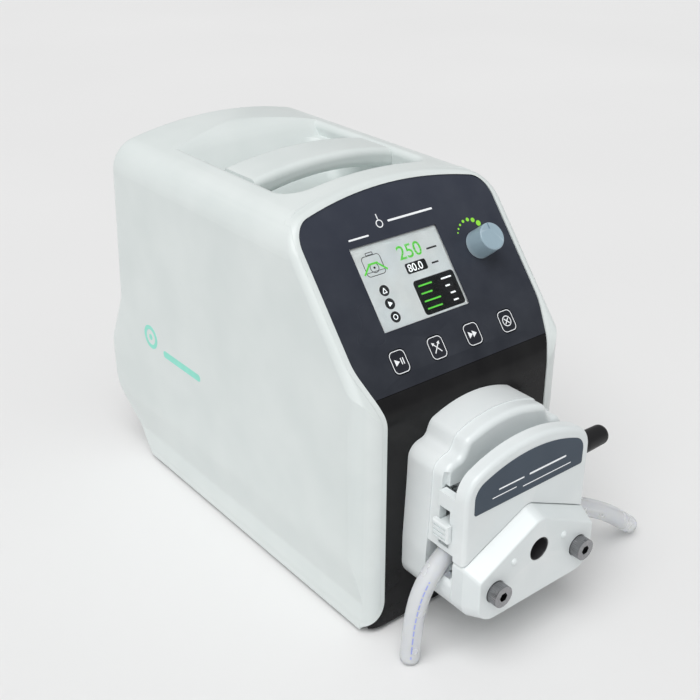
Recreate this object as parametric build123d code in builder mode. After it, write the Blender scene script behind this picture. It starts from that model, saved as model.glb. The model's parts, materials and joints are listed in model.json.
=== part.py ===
from build123d import *
import math
import os

# Bench-top peristaltic pump: a drive with a slanted front panel, and a pump head on its front face.
# X to the right seen from the front, -Y towards the user, +Z up. The origin is on the table, in the
# middle under the pump. Depths called *_d are measured forwards, along -Y.

# ---------------------------------------------------------------- drive housing: driving sizes
half_width = 76.5          # widest half-width of the housing
base_z = 3.0               # underside of the housing above the table
crown_z = 240.5            # top of the crowned roof
crown_radius = 258.0       # roof curvature seen from the front
roof_edge_radius = 20.0    # rounding between roof and sides
wall = 3.0                 # moulded wall
front_d = 112.2            # white rim of the vertical front
rear_y = 176.0             # rearmost point of the housing
panel_sink = 0.6           # black panels lie this far below the white rim
panel_tilt = 38.78         # slanted panel, degrees from vertical
panel_top_y = -55.4        # a point on the slanted black surface: top edge of the display
panel_top_z = 213.8
knee_radius = 28.0         # between slanted and vertical front
plan_corner = 15.0         # vertical front corners
front_edge = 5.0           # rounding of the slanted front's rim
rear_edge = 4.0            # rounding of the rear edges
rear_kink_z = 121.5        # where the rear wall starts to bulge
rear_kink_y = 156.5
rear_top_y = 147.0
bulge_top_z = 84.0
bulge_low_z = 45.8
rear_foot_y = 138.0
rear_wall = 6.0            # rear wall, thicker for its rounded edges

# side cove near the bottom
skirt_half = 74.0
cove_half = 72.9
cove_z = 21.0
cove_top_z = 46.0
skirt_z = 9.0

# black front: overlay above, cover below
overlay_half = 70.0
cover_half = 61.0
overlay_top_z = 237.6
overlay_arc = 290.0
overlay_corner = 13.0
waist_top_z = 166.0
waist_low_z = 141.0
seam_z = 150.9             # seam between overlay and lower cover
flare_z = 22.0             # white corner ends here and the black shows under it
flare_radius = 18.0
frame_rim = 3.2
frame_depth = 6.8
part_gap = 0.25            # assembly gap between visible front pieces
overlay_thick = 0.8
carrier_thick = 3.0

# carrying recess and handle
recess_half = 51.0
recess_front_y = -15.0
recess_floor_z = 190.0
recess_slope_y = 58.0      # where the sloped rear wall meets the floor
recess_rise_y = 107.0      # where that slope would reach the roof height
recess_ease = 30.0
recess_corner = 14.0
recess_rim = 4.0
recess_wall = 3.0
handle_front_y = 19.0
handle_rear_y = 53.0
handle_drop = 0.8          # handle top below the roof line
handle_thick = 11.0
handle_edge = 4.5

# rear connection bay
bay_half = 56.0
bay_low_z = 24.0
bay_high_z = 110.0
bay_y = 150.0
bay_wall = 3.0
rear_panel_thick = 2.0

# ---------------------------------------------------------------- operator panel
display_x0, display_x1 = -41.8, 20.6
display_height = 48.9
key_xs = (-40.3, -13.3, 13.7, 40.7)
key_names = ("start_stop_key", "direction_key", "prime_key", "escape_key")
key_s = 65.9               # distance below the display's top edge, along the slope
key_width, key_height = 11.3, 13.4
key_corner = 3.2
key_gap = 0.35
key_travel = 0.5
knob_x, knob_s = 43.9, 18.8
knob_diameter, knob_height = 17.2, 14.3
encoder_shaft_radius = 3.0
running_gap = 0.05         # radial clearance of every shaft in its hole
board_depth = 13.0         # control board below the black surface
board_thick = 1.6

# ---------------------------------------------------------------- pump head: driving sizes
head_x = 0.0
head_z = 63.9              # rotor axis height
face_d = front_d - panel_sink
seam_d = 131.0             # rear body to upper ring
ring_front_d = 141.0
cover_rear_d = 151.0
cover_front_d = 159.4
nose_d = 169.9
head_bottom_z = 30.5
head_corner = 14.0
head_half = 48.3
tube_d = 140.0             # plane of the tube
tube_radius = 5.7
tube_bore = 3.2
bed_radius = 26.0
roller_envelope = 21.4
roller_radius = 7.0
roller_d0, roller_d1 = 131.6, 148.4
plate_radius = 19.0
plate_thick = 2.2
shaft_radius = 6.0
leg_angle = 36.0           # slope of the tube where it leaves the rotor
moving_gap = 0.3           # between bodies that move past each other
pivot_z = 112.0            # lever pivot
lever_z = 97.7             # height of the closed grip
grip_start_x, grip_tip_x = 52.0, half_width
grip_radius = 6.4
block_top_z = 96.2
bed_half = 37.5
screw_x, screw_z = 32.7, 51.0
screw_head_radius, screw_head_height = 6.5, 8.0
screw_shank = 3.25
stack_bore = 7.2
boss_x, boss_z = 19.7, 64.5

# ---------------------------------------------------------------- shared geometry
tilt = math.radians(panel_tilt)
slope_y, slope_z = math.sin(tilt), math.cos(tilt)      # up the slanted panel
panel_plane = Plane(origin=(0, panel_top_y, panel_top_z), x_dir=(1, 0, 0),
                    z_dir=(0, -slope_z, slope_y))
far = 400.0


def front_plane(depth):
    """Plane facing the user at this depth; extrusions run towards the user."""
    return Plane.XZ.offset(depth)


def near(corners, x, y):
    """The sketch corner closest to a point."""
    return corners.sort_by(lambda corner: (corner.X - x) ** 2 + (corner.Y - y) ** 2)[0]


def finish(part, name):
    """Label a piece and write its STEP file."""
    part.label = name
    export_step(part, f"parts/{name}.step")
    print(f"{name:22s} solids {len(part.solids())} volume {part.volume:10.1f} valid {part.is_valid}")


def front_outline(inset=0.0):
    """Housing seen from the front, shrunk by inset."""
    side_top = crown_z - half_width ** 2 / (2 * crown_radius)
    with BuildSketch() as outline:
        with BuildLine():
            Polyline((-half_width, side_top), (-half_width, cove_top_z), (-cove_half, cove_z),
                     (-skirt_half, skirt_z), (-skirt_half, base_z), (skirt_half, base_z),
                     (skirt_half, skirt_z), (cove_half, cove_z), (half_width, cove_top_z),
                     (half_width, side_top))
            ThreePointArc((half_width, side_top), (0, crown_z), (-half_width, side_top))
        make_face()
        for side in (-1, 1):
            fillet(near(outline.vertices(), side * half_width, side_top), roof_edge_radius)
            fillet(near(outline.vertices(), side * half_width, cove_top_z), 40)
            fillet(near(outline.vertices(), side * cove_half, cove_z), 12)
            fillet(near(outline.vertices(), side * skirt_half, skirt_z), 8)
        if inset:
            offset(amount=-inset, kind=Kind.INTERSECTION)
    return outline.sketch


def side_outline(inset=0.0):
    """Housing seen from the side (Y, Z), its front shrunk by inset from the white rim."""
    rim_y = panel_top_y - panel_sink * slope_z
    rim_z = panel_top_z + panel_sink * slope_y
    knee_z = rim_z - (front_d + rim_y) / math.tan(tilt)
    high_z = crown_z + 12
    high_y = rim_y + (high_z - rim_z) * math.tan(tilt)
    lean = (rear_kink_y - rear_top_y) / (crown_z - rear_kink_z)
    rear_high_y = rear_top_y - (high_z - crown_z) * lean
    with BuildSketch() as outline:
        with BuildLine():
            Polyline((-front_d, base_z), (-front_d, knee_z), (high_y, high_z), (rear_high_y, high_z),
                     (rear_kink_y, rear_kink_z), (rear_y, bulge_top_z), (rear_y, bulge_low_z),
                     (rear_foot_y, base_z), (-front_d, base_z))
        make_face()
        fillet(near(outline.vertices(), -front_d, knee_z), knee_radius)
        fillet(near(outline.vertices(), rear_kink_y, rear_kink_z), 22)
        fillet(near(outline.vertices(), rear_y, bulge_top_z), 26)
        fillet(near(outline.vertices(), rear_y, bulge_low_z), 32)
        if inset:
            offset(amount=-inset, kind=Kind.INTERSECTION)
    return outline.sketch


def black_outline(grow=0.0):
    """Outline of the whole black front seen from the front, grown by grow."""
    side_top = overlay_top_z - overlay_half ** 2 / (2 * overlay_arc)
    flare_x = cover_half + flare_radius
    diagonal = flare_radius * math.sqrt(0.5)
    with BuildSketch() as outline:
        for side in (-1, 1):
            with BuildLine():
                Polyline((0, -20), (side * flare_x, -20), (side * flare_x, flare_z - flare_radius))
                ThreePointArc((side * flare_x, flare_z - flare_radius),
                              (side * (flare_x - diagonal), flare_z - diagonal),
                              (side * cover_half, flare_z))
                Polyline((side * cover_half, flare_z), (side * cover_half, waist_low_z),
                         (side * overlay_half, waist_top_z), (side * overlay_half, side_top))
                ThreePointArc((side * overlay_half, side_top),
                              (side * overlay_half / 2,
                               overlay_top_z - overlay_half ** 2 / (8 * overlay_arc)),
                              (0, overlay_top_z))
                Line((0, overlay_top_z), (0, -20))
            make_face()
        for side in (-1, 1):
            fillet(near(outline.vertices(), side * cover_half, waist_low_z), 24)
            fillet(near(outline.vertices(), side * overlay_half, waist_top_z), 24)
            fillet(near(outline.vertices(), side * overlay_half, side_top), overlay_corner)
        if grow:
            offset(amount=grow, kind=Kind.ARC)
    return outline.sketch


def front_prism(sketch, near_d=-far, far_d=far):
    """Solid of a front-view sketch between two depths."""
    with BuildPart() as prism:
        with BuildSketch(front_plane(near_d)):
            add(sketch)
        extrude(amount=far_d - near_d)
    return prism.part


def side_prism(sketch, half=200.0):
    """Solid of a side-view (Y, Z) sketch, both sides of the middle."""
    with BuildPart() as prism:
        with BuildSketch(Plane.YZ):
            add(sketch)
        extrude(amount=half, both=True)
    return prism.part


def plan_prism(inset=0.0):
    """Solid of the housing's plan with rounded front corners."""
    with BuildPart() as prism:
        with BuildSketch(Plane.XY.offset(-20)) as plan:
            with Locations((0, (rear_y + 60 - front_d) / 2)):
                Rectangle(2 * (half_width - inset), rear_y + 60 + front_d - 2 * inset)
            fillet(plan.vertices().group_by(Axis.Y)[0], plan_corner - inset)
        extrude(amount=far)
    return prism.part


def box_between(low, high):
    """Box from its lowest and highest corners, as a part outside any builder."""
    size = [b - a for a, b in zip(low, high)]
    middle = [(a + b) / 2 for a, b in zip(low, high)]
    return Pos(*middle) * Box(*size, mode=Mode.PRIVATE)


def below_slope(depth):
    """Everything low down that lies further back than this depth behind the front."""
    return box_between((-far, depth - front_d, -far), (far, far, 60))


def rod(x, z, radius, near_d, far_d):
    """Round bar along the head's axis direction between two depths."""
    with BuildPart() as bar:
        with BuildSketch(front_plane(near_d)):
            with Locations((x, z)):
                Circle(radius)
        extrude(amount=far_d - near_d)
    return bar.part


def panel_rod(x, s, radius, low, high):
    """Round bar square to the slanted panel, from low to high above its black surface."""
    with BuildPart() as bar:
        with BuildSketch(panel_plane.offset(low)):
            with Locations((x, -s)):
                Circle(radius)
        extrude(amount=high - low)
    return bar.part


def panel_block(x, s, width, height, low, high, corner=0.0):
    """Rectangular block square to the slanted panel."""
    with BuildPart() as block:
        with BuildSketch(panel_plane.offset(low)):
            with Locations((x, -s)):
                if corner:
                    RectangleRounded(width, height, corner)
                else:
                    Rectangle(width, height)
        extrude(amount=high - low)
    return block.part


os.makedirs("parts", exist_ok=True)

# ---------------------------------------------------------------- housing volumes
with BuildPart() as drive_body:
    add(front_prism(front_outline()))
    add(side_prism(side_outline()), mode=Mode.INTERSECT)
    slanted = [edge for edge in drive_body.edges()
               if edge.center().Y < 0 and edge.center().Z > base_z + 1
               and abs(edge.tangent_at(0.5).X) < 0.98 and abs(edge.tangent_at(0.5).Y) < 0.98]
    roof_front = [edge for edge in drive_body.edges()
                  if -60 < edge.center().Y < 0 and edge.center().Z > crown_z - 12
                  and abs(edge.tangent_at(0.5).X) >= 0.98]
    fillet(slanted + roof_front, front_edge)
    behind = [edge for edge in drive_body.edges()
              if edge.center().Y > 125 and edge.center().Z > base_z + 1
              and abs(edge.tangent_at(0.5).Y) < 0.98
              and (abs(edge.tangent_at(0.5).X) < 0.98 or edge.center().Z > crown_z - 12)]
    fillet(behind, rear_edge)
    add(plan_prism(), mode=Mode.INTERSECT)

with BuildPart() as cavity:
    add(front_prism(front_outline(wall)))
    add(side_prism(side_outline(frame_depth + 0.1)), mode=Mode.INTERSECT)
    add(box_between((-far, -far, -far), (far, rear_kink_y - rear_wall, far)), mode=Mode.INTERSECT)

with BuildPart() as recess:
    with BuildSketch(Plane.YZ) as recess_side:
        with BuildLine():
            Polyline((recess_front_y, recess_floor_z), (recess_slope_y, recess_floor_z),
                     (recess_rise_y, crown_z), (recess_rise_y + 40, crown_z),
                     (recess_rise_y + 40, crown_z + 20), (recess_front_y, crown_z + 20),
                     (recess_front_y, recess_floor_z))
        make_face()
        fillet(near(recess_side.vertices(), recess_rise_y, crown_z), recess_ease)
        fillet(near(recess_side.vertices(), recess_slope_y, recess_floor_z), 12)
        fillet(near(recess_side.vertices(), recess_front_y, recess_floor_z), 8)
    extrude(amount=recess_half, both=True)
    upright = [edge for edge in recess.edges().filter_by(Axis.Z) if edge.center().Y < recess_front_y + 1]
    fillet(upright, recess_corner)

with BuildPart() as recess_tub:
    with BuildSketch(Plane.YZ) as tub_side:
        add(recess_side.sketch_local)
        offset(amount=recess_wall, kind=Kind.ARC)
    extrude(amount=recess_half + recess_wall, both=True)

bay = box_between((-bay_half, bay_y, bay_low_z), (bay_half, far, bay_high_z))
bay_tub = box_between((-bay_half - bay_wall, bay_y - bay_wall, bay_low_z - bay_wall),
                      (bay_half + bay_wall, far, bay_high_z + bay_wall))
bay_window = box_between((-bay_half + 6, bay_y - 10, bay_low_z + 6), (bay_half - 6, far, bay_high_z - 6))
belly_half = skirt_half - 4.0
belly_front_y = -front_d + panel_sink + 3.3
belly_rear_y = rear_foot_y - 5.0
belly = box_between((-belly_half, belly_front_y, -20), (belly_half, belly_rear_y, base_z + 3.1))
floor_hole = box_between((-62, belly_front_y + 8, -20), (62, belly_rear_y - 8, 20))
case_screw_radius = 1.5
base_screw_places = [(-66, -60), (66, -60), (-66, 90), (66, 90)]

with BuildPart() as frame_pocket:
    add(front_prism(black_outline(frame_rim + 0.1)))
    add(side_prism(side_outline(frame_depth + 0.1)) + below_slope(frame_depth + 0.1),
        mode=Mode.SUBTRACT)
    add(box_between((-far, -far, -far), (far, 0, far)), mode=Mode.INTERSECT)

mouth_box = box_between((-recess_half - 7, recess_front_y - 7, crown_z - 14),
                        (recess_half + 7, recess_rise_y + 12, crown_z + 10))
with BuildPart() as mouth_block:
    add(front_prism(front_outline()))
    add(mouth_box, mode=Mode.INTERSECT)
    with BuildSketch(Plane.XY.offset(recess_floor_z)) as mouth_plan:
        with Locations((0, recess_front_y + far / 2)):
            Rectangle(2 * recess_half, far)
        fillet(mouth_plan.vertices().group_by(Axis.Y)[0], recess_corner)
    extrude(amount=far, mode=Mode.SUBTRACT)
    rim = [edge for edge in mouth_block.edges()
           if abs(edge.center().X) < recess_half + 0.5 and edge.center().Z > crown_z - 8
           and edge.center().Y > recess_front_y - 0.5 and edge.bounding_box().size.Z < 6
           and edge.center().Y < recess_rise_y]
    fillet(rim, recess_rim)

with BuildPart() as mouth:
    add(mouth_box)
    add(mouth_block.part, mode=Mode.SUBTRACT)
    with BuildSketch(Plane.YZ):
        with BuildLine():
            Polyline((recess_front_y - 20, crown_z + 20), (recess_front_y - 20, recess_floor_z),
                     (recess_slope_y, recess_floor_z), (recess_rise_y, crown_z),
                     (recess_rise_y + 40, crown_z), (recess_rise_y + 40, crown_z + 20),
                     (recess_front_y - 20, crown_z + 20))
        mouth_side = make_face()
        fillet(near(mouth_side.vertices(), recess_rise_y, crown_z), recess_ease)
    extrude(amount=recess_half + 20, both=True, mode=Mode.INTERSECT)

with BuildPart() as housing_shell:
    add(drive_body.part)
    add(recess.part, mode=Mode.SUBTRACT)
    add(mouth.part, mode=Mode.SUBTRACT)
    add(cavity.part - recess_tub.part - bay_tub, mode=Mode.SUBTRACT)
    add(bay + bay_window + belly + floor_hole, mode=Mode.SUBTRACT)
    for hole_x, hole_y in base_screw_places:
        with Locations((hole_x, hole_y, base_z)):
            Cylinder(case_screw_radius, 11, mode=Mode.SUBTRACT)
    add(frame_pocket.part, mode=Mode.SUBTRACT)
finish(housing_shell.part, "housing_shell")

# ---------------------------------------------------------------- front of the drive
key_width_hole = key_width + 2 * key_gap
key_height_hole = key_height + 2 * key_gap
overlay_low = -overlay_thick
carrier_top = overlay_low - 0.1
carrier_low = carrier_top - carrier_thick
display_x = (display_x0 + display_x1) / 2
display_width = display_x1 - display_x0
bezel_lip = 1.5


def front_skin(outer, inner, outline, low_z=-far, high_z=far):
    """Layer of the drive's front between two depths below the white rim."""
    with BuildPart() as skin:
        add(side_prism(side_outline(outer)))
        add(side_prism(side_outline(inner)) + below_slope(inner), mode=Mode.SUBTRACT)
        add(box_between((-far, -far, low_z), (far, 0, high_z)), mode=Mode.INTERSECT)
        add(front_prism(outline), mode=Mode.INTERSECT)
        add(plan_prism(outer), mode=Mode.INTERSECT)
    return skin.part


with BuildPart() as front_frame:
    add(drive_body.part)
    add(front_prism(black_outline(frame_rim)), mode=Mode.INTERSECT)
    add(box_between((-far, -far, -far), (far, 0, far)), mode=Mode.INTERSECT)
    add(front_prism(black_outline(part_gap)), mode=Mode.SUBTRACT)
    add(side_prism(side_outline(frame_depth)) + below_slope(frame_depth), mode=Mode.SUBTRACT)
    add(front_skin(frame_depth - 2.0, frame_depth, black_outline(frame_rim - 0.6)
                   - black_outline(-4.0), waist_top_z))
finish(front_frame.part, "front_frame")

with BuildPart() as keypad_overlay:
    add(front_skin(panel_sink, panel_sink + overlay_thick, black_outline(), seam_z + part_gap / 2))
    add(panel_block(display_x, display_height / 2, display_width, display_height, -5, 5),
        mode=Mode.SUBTRACT)
    for key_x in key_xs:
        add(panel_block(key_x, key_s, key_width_hole, key_height_hole, -5, 5, key_corner + key_gap),
            mode=Mode.SUBTRACT)
    add(panel_rod(knob_x, knob_s, 5.0, -5, 5), mode=Mode.SUBTRACT)
finish(keypad_overlay.part, "keypad_overlay")

carrier_sink = panel_sink - carrier_top
with BuildPart() as panel_carrier:
    add(front_skin(carrier_sink, carrier_sink + carrier_thick, black_outline(-0.3),
                   seam_z + part_gap / 2))
    add(panel_block(display_x, display_height / 2, display_width + 2 * bezel_lip,
                    display_height + 2 * bezel_lip, -9, 5), mode=Mode.SUBTRACT)
    for key_x in key_xs:
        add(panel_block(key_x, key_s, key_width_hole, key_height_hole, -9, 5, key_corner + key_gap),
            mode=Mode.SUBTRACT)
    add(panel_rod(knob_x, knob_s, 3.6, -9, 5), mode=Mode.SUBTRACT)
finish(panel_carrier.part, "panel_carrier")

with BuildPart() as lower_front_cover:
    add(front_skin(panel_sink, panel_sink + 3.0, black_outline(), base_z, seam_z - part_gap / 2))
    add(rod(head_x, head_z, 12.0, 0, far), mode=Mode.SUBTRACT)
finish(lower_front_cover.part, "lower_front_cover")

base_gap = 0.3
foot_places = [(-55, -85), (55, -85), (-55, 112), (55, 112)]
foot_radius = 8.0
with BuildPart() as base_plate:
    add(box_between((-belly_half + base_gap, belly_front_y + base_gap, base_z),
                    (belly_half - base_gap, belly_rear_y - base_gap, base_z + 3)))
    for low_y in range(-30, 60, 12):
        add(box_between((-30, low_y, 0), (30, low_y + 5, 10)), mode=Mode.SUBTRACT)
    for hole_x, hole_y in base_screw_places:
        with Locations((hole_x, hole_y, base_z)):
            Cylinder(case_screw_radius, 30, mode=Mode.SUBTRACT)
finish(base_plate.part, "base_plate")

with BuildPart() as rubber_feet:
    with BuildSketch(Plane.XY):
        with Locations(*foot_places):
            Circle(foot_radius)
    extrude(amount=base_z)
    chamfer(rubber_feet.faces().sort_by(Axis.Z)[0:4].edges(), 0.8)
finish(rubber_feet.part, "rubber_feet")

panel_screw_places = [(x, z) for x in (-bay_half + 3.2, bay_half - 3.2)
                      for z in (bay_low_z + 3.2, bay_high_z - 3.2)]
with BuildPart() as case_screws:
    for hole_x, hole_y in base_screw_places:
        with Locations((hole_x, hole_y, base_z - 0.9)):
            Cylinder(2.8, 1.8)
        with Locations((hole_x, hole_y, base_z + 2.5)):
            Cylinder(case_screw_radius, 5)
    for hole_x, hole_z in panel_screw_places:
        add(rod(hole_x, hole_z, 2.8, -bay_y - rear_panel_thick - 1.8, -bay_y - rear_panel_thick))
        add(rod(hole_x, hole_z, case_screw_radius, -bay_y - rear_panel_thick, -bay_y))
finish(case_screws.part, "case_screws")

# ---------------------------------------------------------------- carrying handle
with BuildPart() as carry_handle:
    handle_half = recess_half - 0.1
    handle_top = crown_z - handle_drop
    end_drop = handle_half ** 2 / (2 * crown_radius)
    with BuildSketch(front_plane(-handle_rear_y)) as bar:
        with BuildLine():
            ThreePointArc((-handle_half, handle_top - end_drop), (0, handle_top),
                          (handle_half, handle_top - end_drop))
            Polyline((handle_half, handle_top - end_drop),
                     (handle_half, handle_top - end_drop - handle_thick - 2))
            ThreePointArc((handle_half, handle_top - end_drop - handle_thick - 2),
                          (0, handle_top - handle_thick),
                          (-handle_half, handle_top - end_drop - handle_thick - 2))
            Line((-handle_half, handle_top - end_drop - handle_thick - 2),
                 (-handle_half, handle_top - end_drop))
        make_face()
    extrude(amount=handle_rear_y - handle_front_y)
    long_edges = [edge for edge in carry_handle.edges()
                  if abs(edge.center().X) < 1 and edge.length > handle_half]
    fillet(long_edges, handle_edge)
finish(carry_handle.part, "carry_handle")

# ---------------------------------------------------------------- display, board, keys and knob
module_top = carrier_top - 0.6
with BuildPart() as display_lens:
    add(panel_block(display_x, display_height / 2, display_width - 0.3, display_height - 0.3,
                    overlay_low - 0.7, overlay_low + 0.5))
finish(display_lens.part, "display_lens")

with BuildPart() as display_module:
    add(panel_block(display_x, display_height / 2, display_width + 2 * bezel_lip - 0.4,
                    display_height + 2 * bezel_lip - 0.4, module_top - 7.0, overlay_low - 0.8))
finish(display_module.part, "display_module")

board_top = -board_depth
with BuildPart() as control_board:
    add(panel_block(0, 38, 124, 84, board_top - board_thick, board_top))
    add(panel_block(-45, 20, 16, 16, board_top - board_thick - 2, board_top - board_thick))
    add(panel_block(30, 20, 22, 10, board_top - board_thick - 6, board_top - board_thick))
    add(panel_block(-5, 70, 40, 8, board_top - board_thick - 7, board_top - board_thick))
finish(control_board.part, "control_board")

switch_height = 4.0
with BuildPart() as key_switches:
    for key_x in key_xs:
        add(panel_block(key_x, key_s, 6, 6, board_top, board_top + switch_height))
        add(panel_rod(key_x, key_s, 1.6, board_top + switch_height, board_top + switch_height + 1))
finish(key_switches.part, "key_switches")

for key_name, key_x in zip(key_names, key_xs):
    with BuildPart() as key:
        add(panel_block(key_x, key_s, key_width, key_height, carrier_top - 1.2, -0.05, key_corner))
        fillet(key.faces().sort_by(Axis((0, 0, 0), panel_plane.z_dir))[-1].edges(), 0.25)
        add(panel_rod(key_x, key_s, 1.8, board_top + switch_height + 1 + key_travel + 0.1,
                      carrier_top - 1.2))
    finish(key.part, key_name)

bush_radius = 3.5
with BuildPart() as knob_encoder:
    add(panel_block(knob_x, knob_s, 12, 12, board_top, carrier_low - 0.1))
    add(panel_rod(knob_x, knob_s, bush_radius, carrier_low - 0.1, 1.0))
    add(panel_rod(knob_x, knob_s, encoder_shaft_radius + running_gap, board_top + 2, 2),
        mode=Mode.SUBTRACT)
finish(knob_encoder.part, "knob_encoder")

with BuildPart() as encoder_shaft:
    add(panel_rod(knob_x, knob_s, encoder_shaft_radius, board_top + 2.3, knob_height - 3))
finish(encoder_shaft.part, "encoder_shaft")

with BuildPart() as speed_knob:
    with BuildSketch(panel_plane.offset(0.4)):
        with Locations((knob_x, -knob_s)):
            Circle(knob_diameter / 2)
    extrude(amount=knob_height - 0.4, taper=1.0)
    fillet(speed_knob.faces().sort_by(Axis((0, 0, 0), panel_plane.z_dir))[-1].edges(), 0.9)
    add(panel_block(knob_x, knob_s - knob_diameter / 2 + 1.6, 1.3, 5.6, knob_height - 0.9,
                    knob_height + 1), mode=Mode.SUBTRACT)
    add(panel_rod(knob_x, knob_s, encoder_shaft_radius, -5, knob_height - 3), mode=Mode.SUBTRACT)
    add(panel_rod(knob_x, knob_s, bush_radius + 0.4, -5, 1.6), mode=Mode.SUBTRACT)
finish(speed_knob.part, "speed_knob")

# ---------------------------------------------------------------- motor and electronics
motor_half = 28.5
bracket_d0, bracket_d1 = 92.0, 96.0
with BuildPart() as gear_motor:
    with BuildSketch(front_plane(20)):
        with Locations((head_x, head_z)):
            RectangleRounded(2 * motor_half, 2 * motor_half, 5)
    extrude(amount=bracket_d0 - 20)
    add(rod(head_x, head_z, 19, bracket_d0, bracket_d0 + 1.6))
    add(rod(head_x, head_z, 4 + running_gap, 40, far), mode=Mode.SUBTRACT)
finish(gear_motor.part, "gear_motor")

with BuildPart() as motor_bracket:
    bracket_low = base_z + 3
    add(box_between((-45, -bracket_d1, bracket_low), (45, -bracket_d0, head_z + motor_half + 10)))
    add(box_between((-45, -bracket_d0, bracket_low), (45, -bracket_d0 + 34, bracket_low + 4)))
    add(rod(head_x, head_z, 19.1, bracket_d0 - 1, bracket_d1 + 1), mode=Mode.SUBTRACT)
finish(motor_bracket.part, "motor_bracket")

shaft_start_d = 112.6
tang_d = shaft_start_d + 5
hub_end_d = 111.2
with BuildPart() as drive_coupling:
    add(rod(head_x, head_z, 4, 41, 97))
    add(rod(head_x, head_z, 10, 97, hub_end_d))
    add(box_between((-7, -tang_d, head_z - 2), (7, -hub_end_d, head_z + 2)))
finish(drive_coupling.part, "drive_coupling")

with BuildPart() as driver_board:
    add(box_between((46, -40, 20), (47.6, 60, 110)))
    add(box_between((47.6, -30, 30), (60, -5, 70)))
    for low_y in (5, 20, 35):
        add(box_between((47.6, low_y, 60), (59, low_y + 9, 80)))
    add(box_between((47.6, 10, 30), (57, 40, 40)))
finish(driver_board.part, "driver_board")

with BuildPart() as power_supply:
    add(box_between((-60, 20, base_z + 3.2), (-12, 118, base_z + 5.2)))
    for low_y, high in ((26, 24), (46, 34), (80, 30)):
        add(box_between((-56, low_y, base_z + 5.2), (-34, low_y + 16, base_z + 5.2 + high)))
    add(box_between((-28, 30, base_z + 5.2), (-18, 100, base_z + 24)))
finish(power_supply.part, "power_supply")

# ---------------------------------------------------------------- rear connection panel
panel_d = -bay_y - rear_panel_thick
fan_x, fan_z, fan_radius = 22.0, 68.0, 26.0
inlet_x, inlet_z = -28.0, 44.0
rocker_x, rocker_z = -28.0, 70.0
socket_x, socket_z = -28.0, 94.0
inlet_size = (27.4, 20.0)
rocker_size = (21.0, 15.0)
socket_size = (30.0, 11.0)


def rear_block(x, z, width, height, front_y, back_y):
    """Block on the rear panel between two Y positions."""
    return box_between((x - width / 2, front_y, z - height / 2),
                       (x + width / 2, back_y, z + height / 2))


with BuildPart() as rear_panel:
    add(box_between((-bay_half + 0.3, bay_y, bay_low_z + 0.3),
                    (bay_half - 0.3, bay_y + rear_panel_thick, bay_high_z - 0.3)))
    add(rod(fan_x, fan_z, fan_radius, panel_d - 1, 0), mode=Mode.SUBTRACT)
    for place, size in (((inlet_x, inlet_z), inlet_size), ((rocker_x, rocker_z), rocker_size),
                        ((socket_x, socket_z), socket_size)):
        add(rear_block(*place, *size, bay_y - 1, bay_y + 9), mode=Mode.SUBTRACT)
    for hole_x, hole_z in panel_screw_places:
        add(rod(hole_x, hole_z, case_screw_radius, panel_d - 1, 0), mode=Mode.SUBTRACT)
finish(rear_panel.part, "rear_panel")

with BuildPart() as fan_guard:
    for ring_radius in (7.0, 14.0, 21.0, fan_radius + 3.0):
        add(rod(fan_x, fan_z, ring_radius + 0.8, panel_d - 1.6, panel_d)
            - rod(fan_x, fan_z, ring_radius - 0.8, panel_d - 2, panel_d + 1))
    for turn in range(4):
        spoke = box_between((-fan_radius - 3, 0, -0.8), (fan_radius + 3, 1.6, 0.8))
        spoke = Pos(fan_x, -panel_d, fan_z) * Rot(0, 45 * turn, 0) * spoke
        add(spoke)
    add(rod(fan_x, fan_z, 5.2, panel_d, panel_d + 0.5), mode=Mode.SUBTRACT)
finish(fan_guard.part, "fan_guard")

fan_depth = 15.0
fan_half = 30.0
with BuildPart() as fan_frame:
    add(rear_block(fan_x, fan_z, 2 * fan_half, 2 * fan_half, bay_y - 3.2 - fan_depth, bay_y - 3.2))
    add(rod(fan_x, fan_z, fan_radius + 1.5, panel_d, 0), mode=Mode.SUBTRACT)
    hub_face = -(bay_y - 3.2 - fan_depth)
    for turn in range(3):
        strut = box_between((0, -hub_face, -1.5), (fan_radius + 2, -hub_face + 2, 1.5))
        add(Pos(fan_x, 0, fan_z) * Rot(0, 120 * turn, 0) * strut)
    add(rod(fan_x, fan_z, 9, hub_face - 2, hub_face))
    add(rod(fan_x, fan_z, 1.5, hub_face - 10, hub_face - 2))
finish(fan_frame.part, "fan_frame")

with BuildPart() as fan_rotor:
    add(rod(fan_x, fan_z, 9, hub_face - 13, hub_face - 2.4))
    for turn in range(7):
        blade = Pos(16.5, -hub_face + 7.5, 0) * Rot(35, 0, 0) * Box(18, 9, 1.2, mode=Mode.PRIVATE)
        add(Pos(fan_x, 0, fan_z) * Rot(0, 360 / 7 * turn, 0) * blade)
    add(rod(fan_x, fan_z, 1.5 + running_gap, hub_face - 11, 0), mode=Mode.SUBTRACT)
finish(fan_rotor.part, "fan_rotor")

with BuildPart() as power_inlet:
    add(rear_block(inlet_x, inlet_z, inlet_size[0] + 5, inlet_size[1] + 5, -panel_d, -panel_d + 2))
    add(rear_block(inlet_x, inlet_z, inlet_size[0] - 0.4, inlet_size[1] - 0.4, bay_y - 18, -panel_d))
    add(rear_block(inlet_x, inlet_z, 24, 16.5, bay_y - 14, 400), mode=Mode.SUBTRACT)
    for pin_x, pin_z in ((-7, -2), (7, -2), (0, 2.5)):
        add(rear_block(inlet_x + pin_x, inlet_z + pin_z, 2, 4, bay_y - 14.5, bay_y))
finish(power_inlet.part, "power_inlet")

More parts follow.
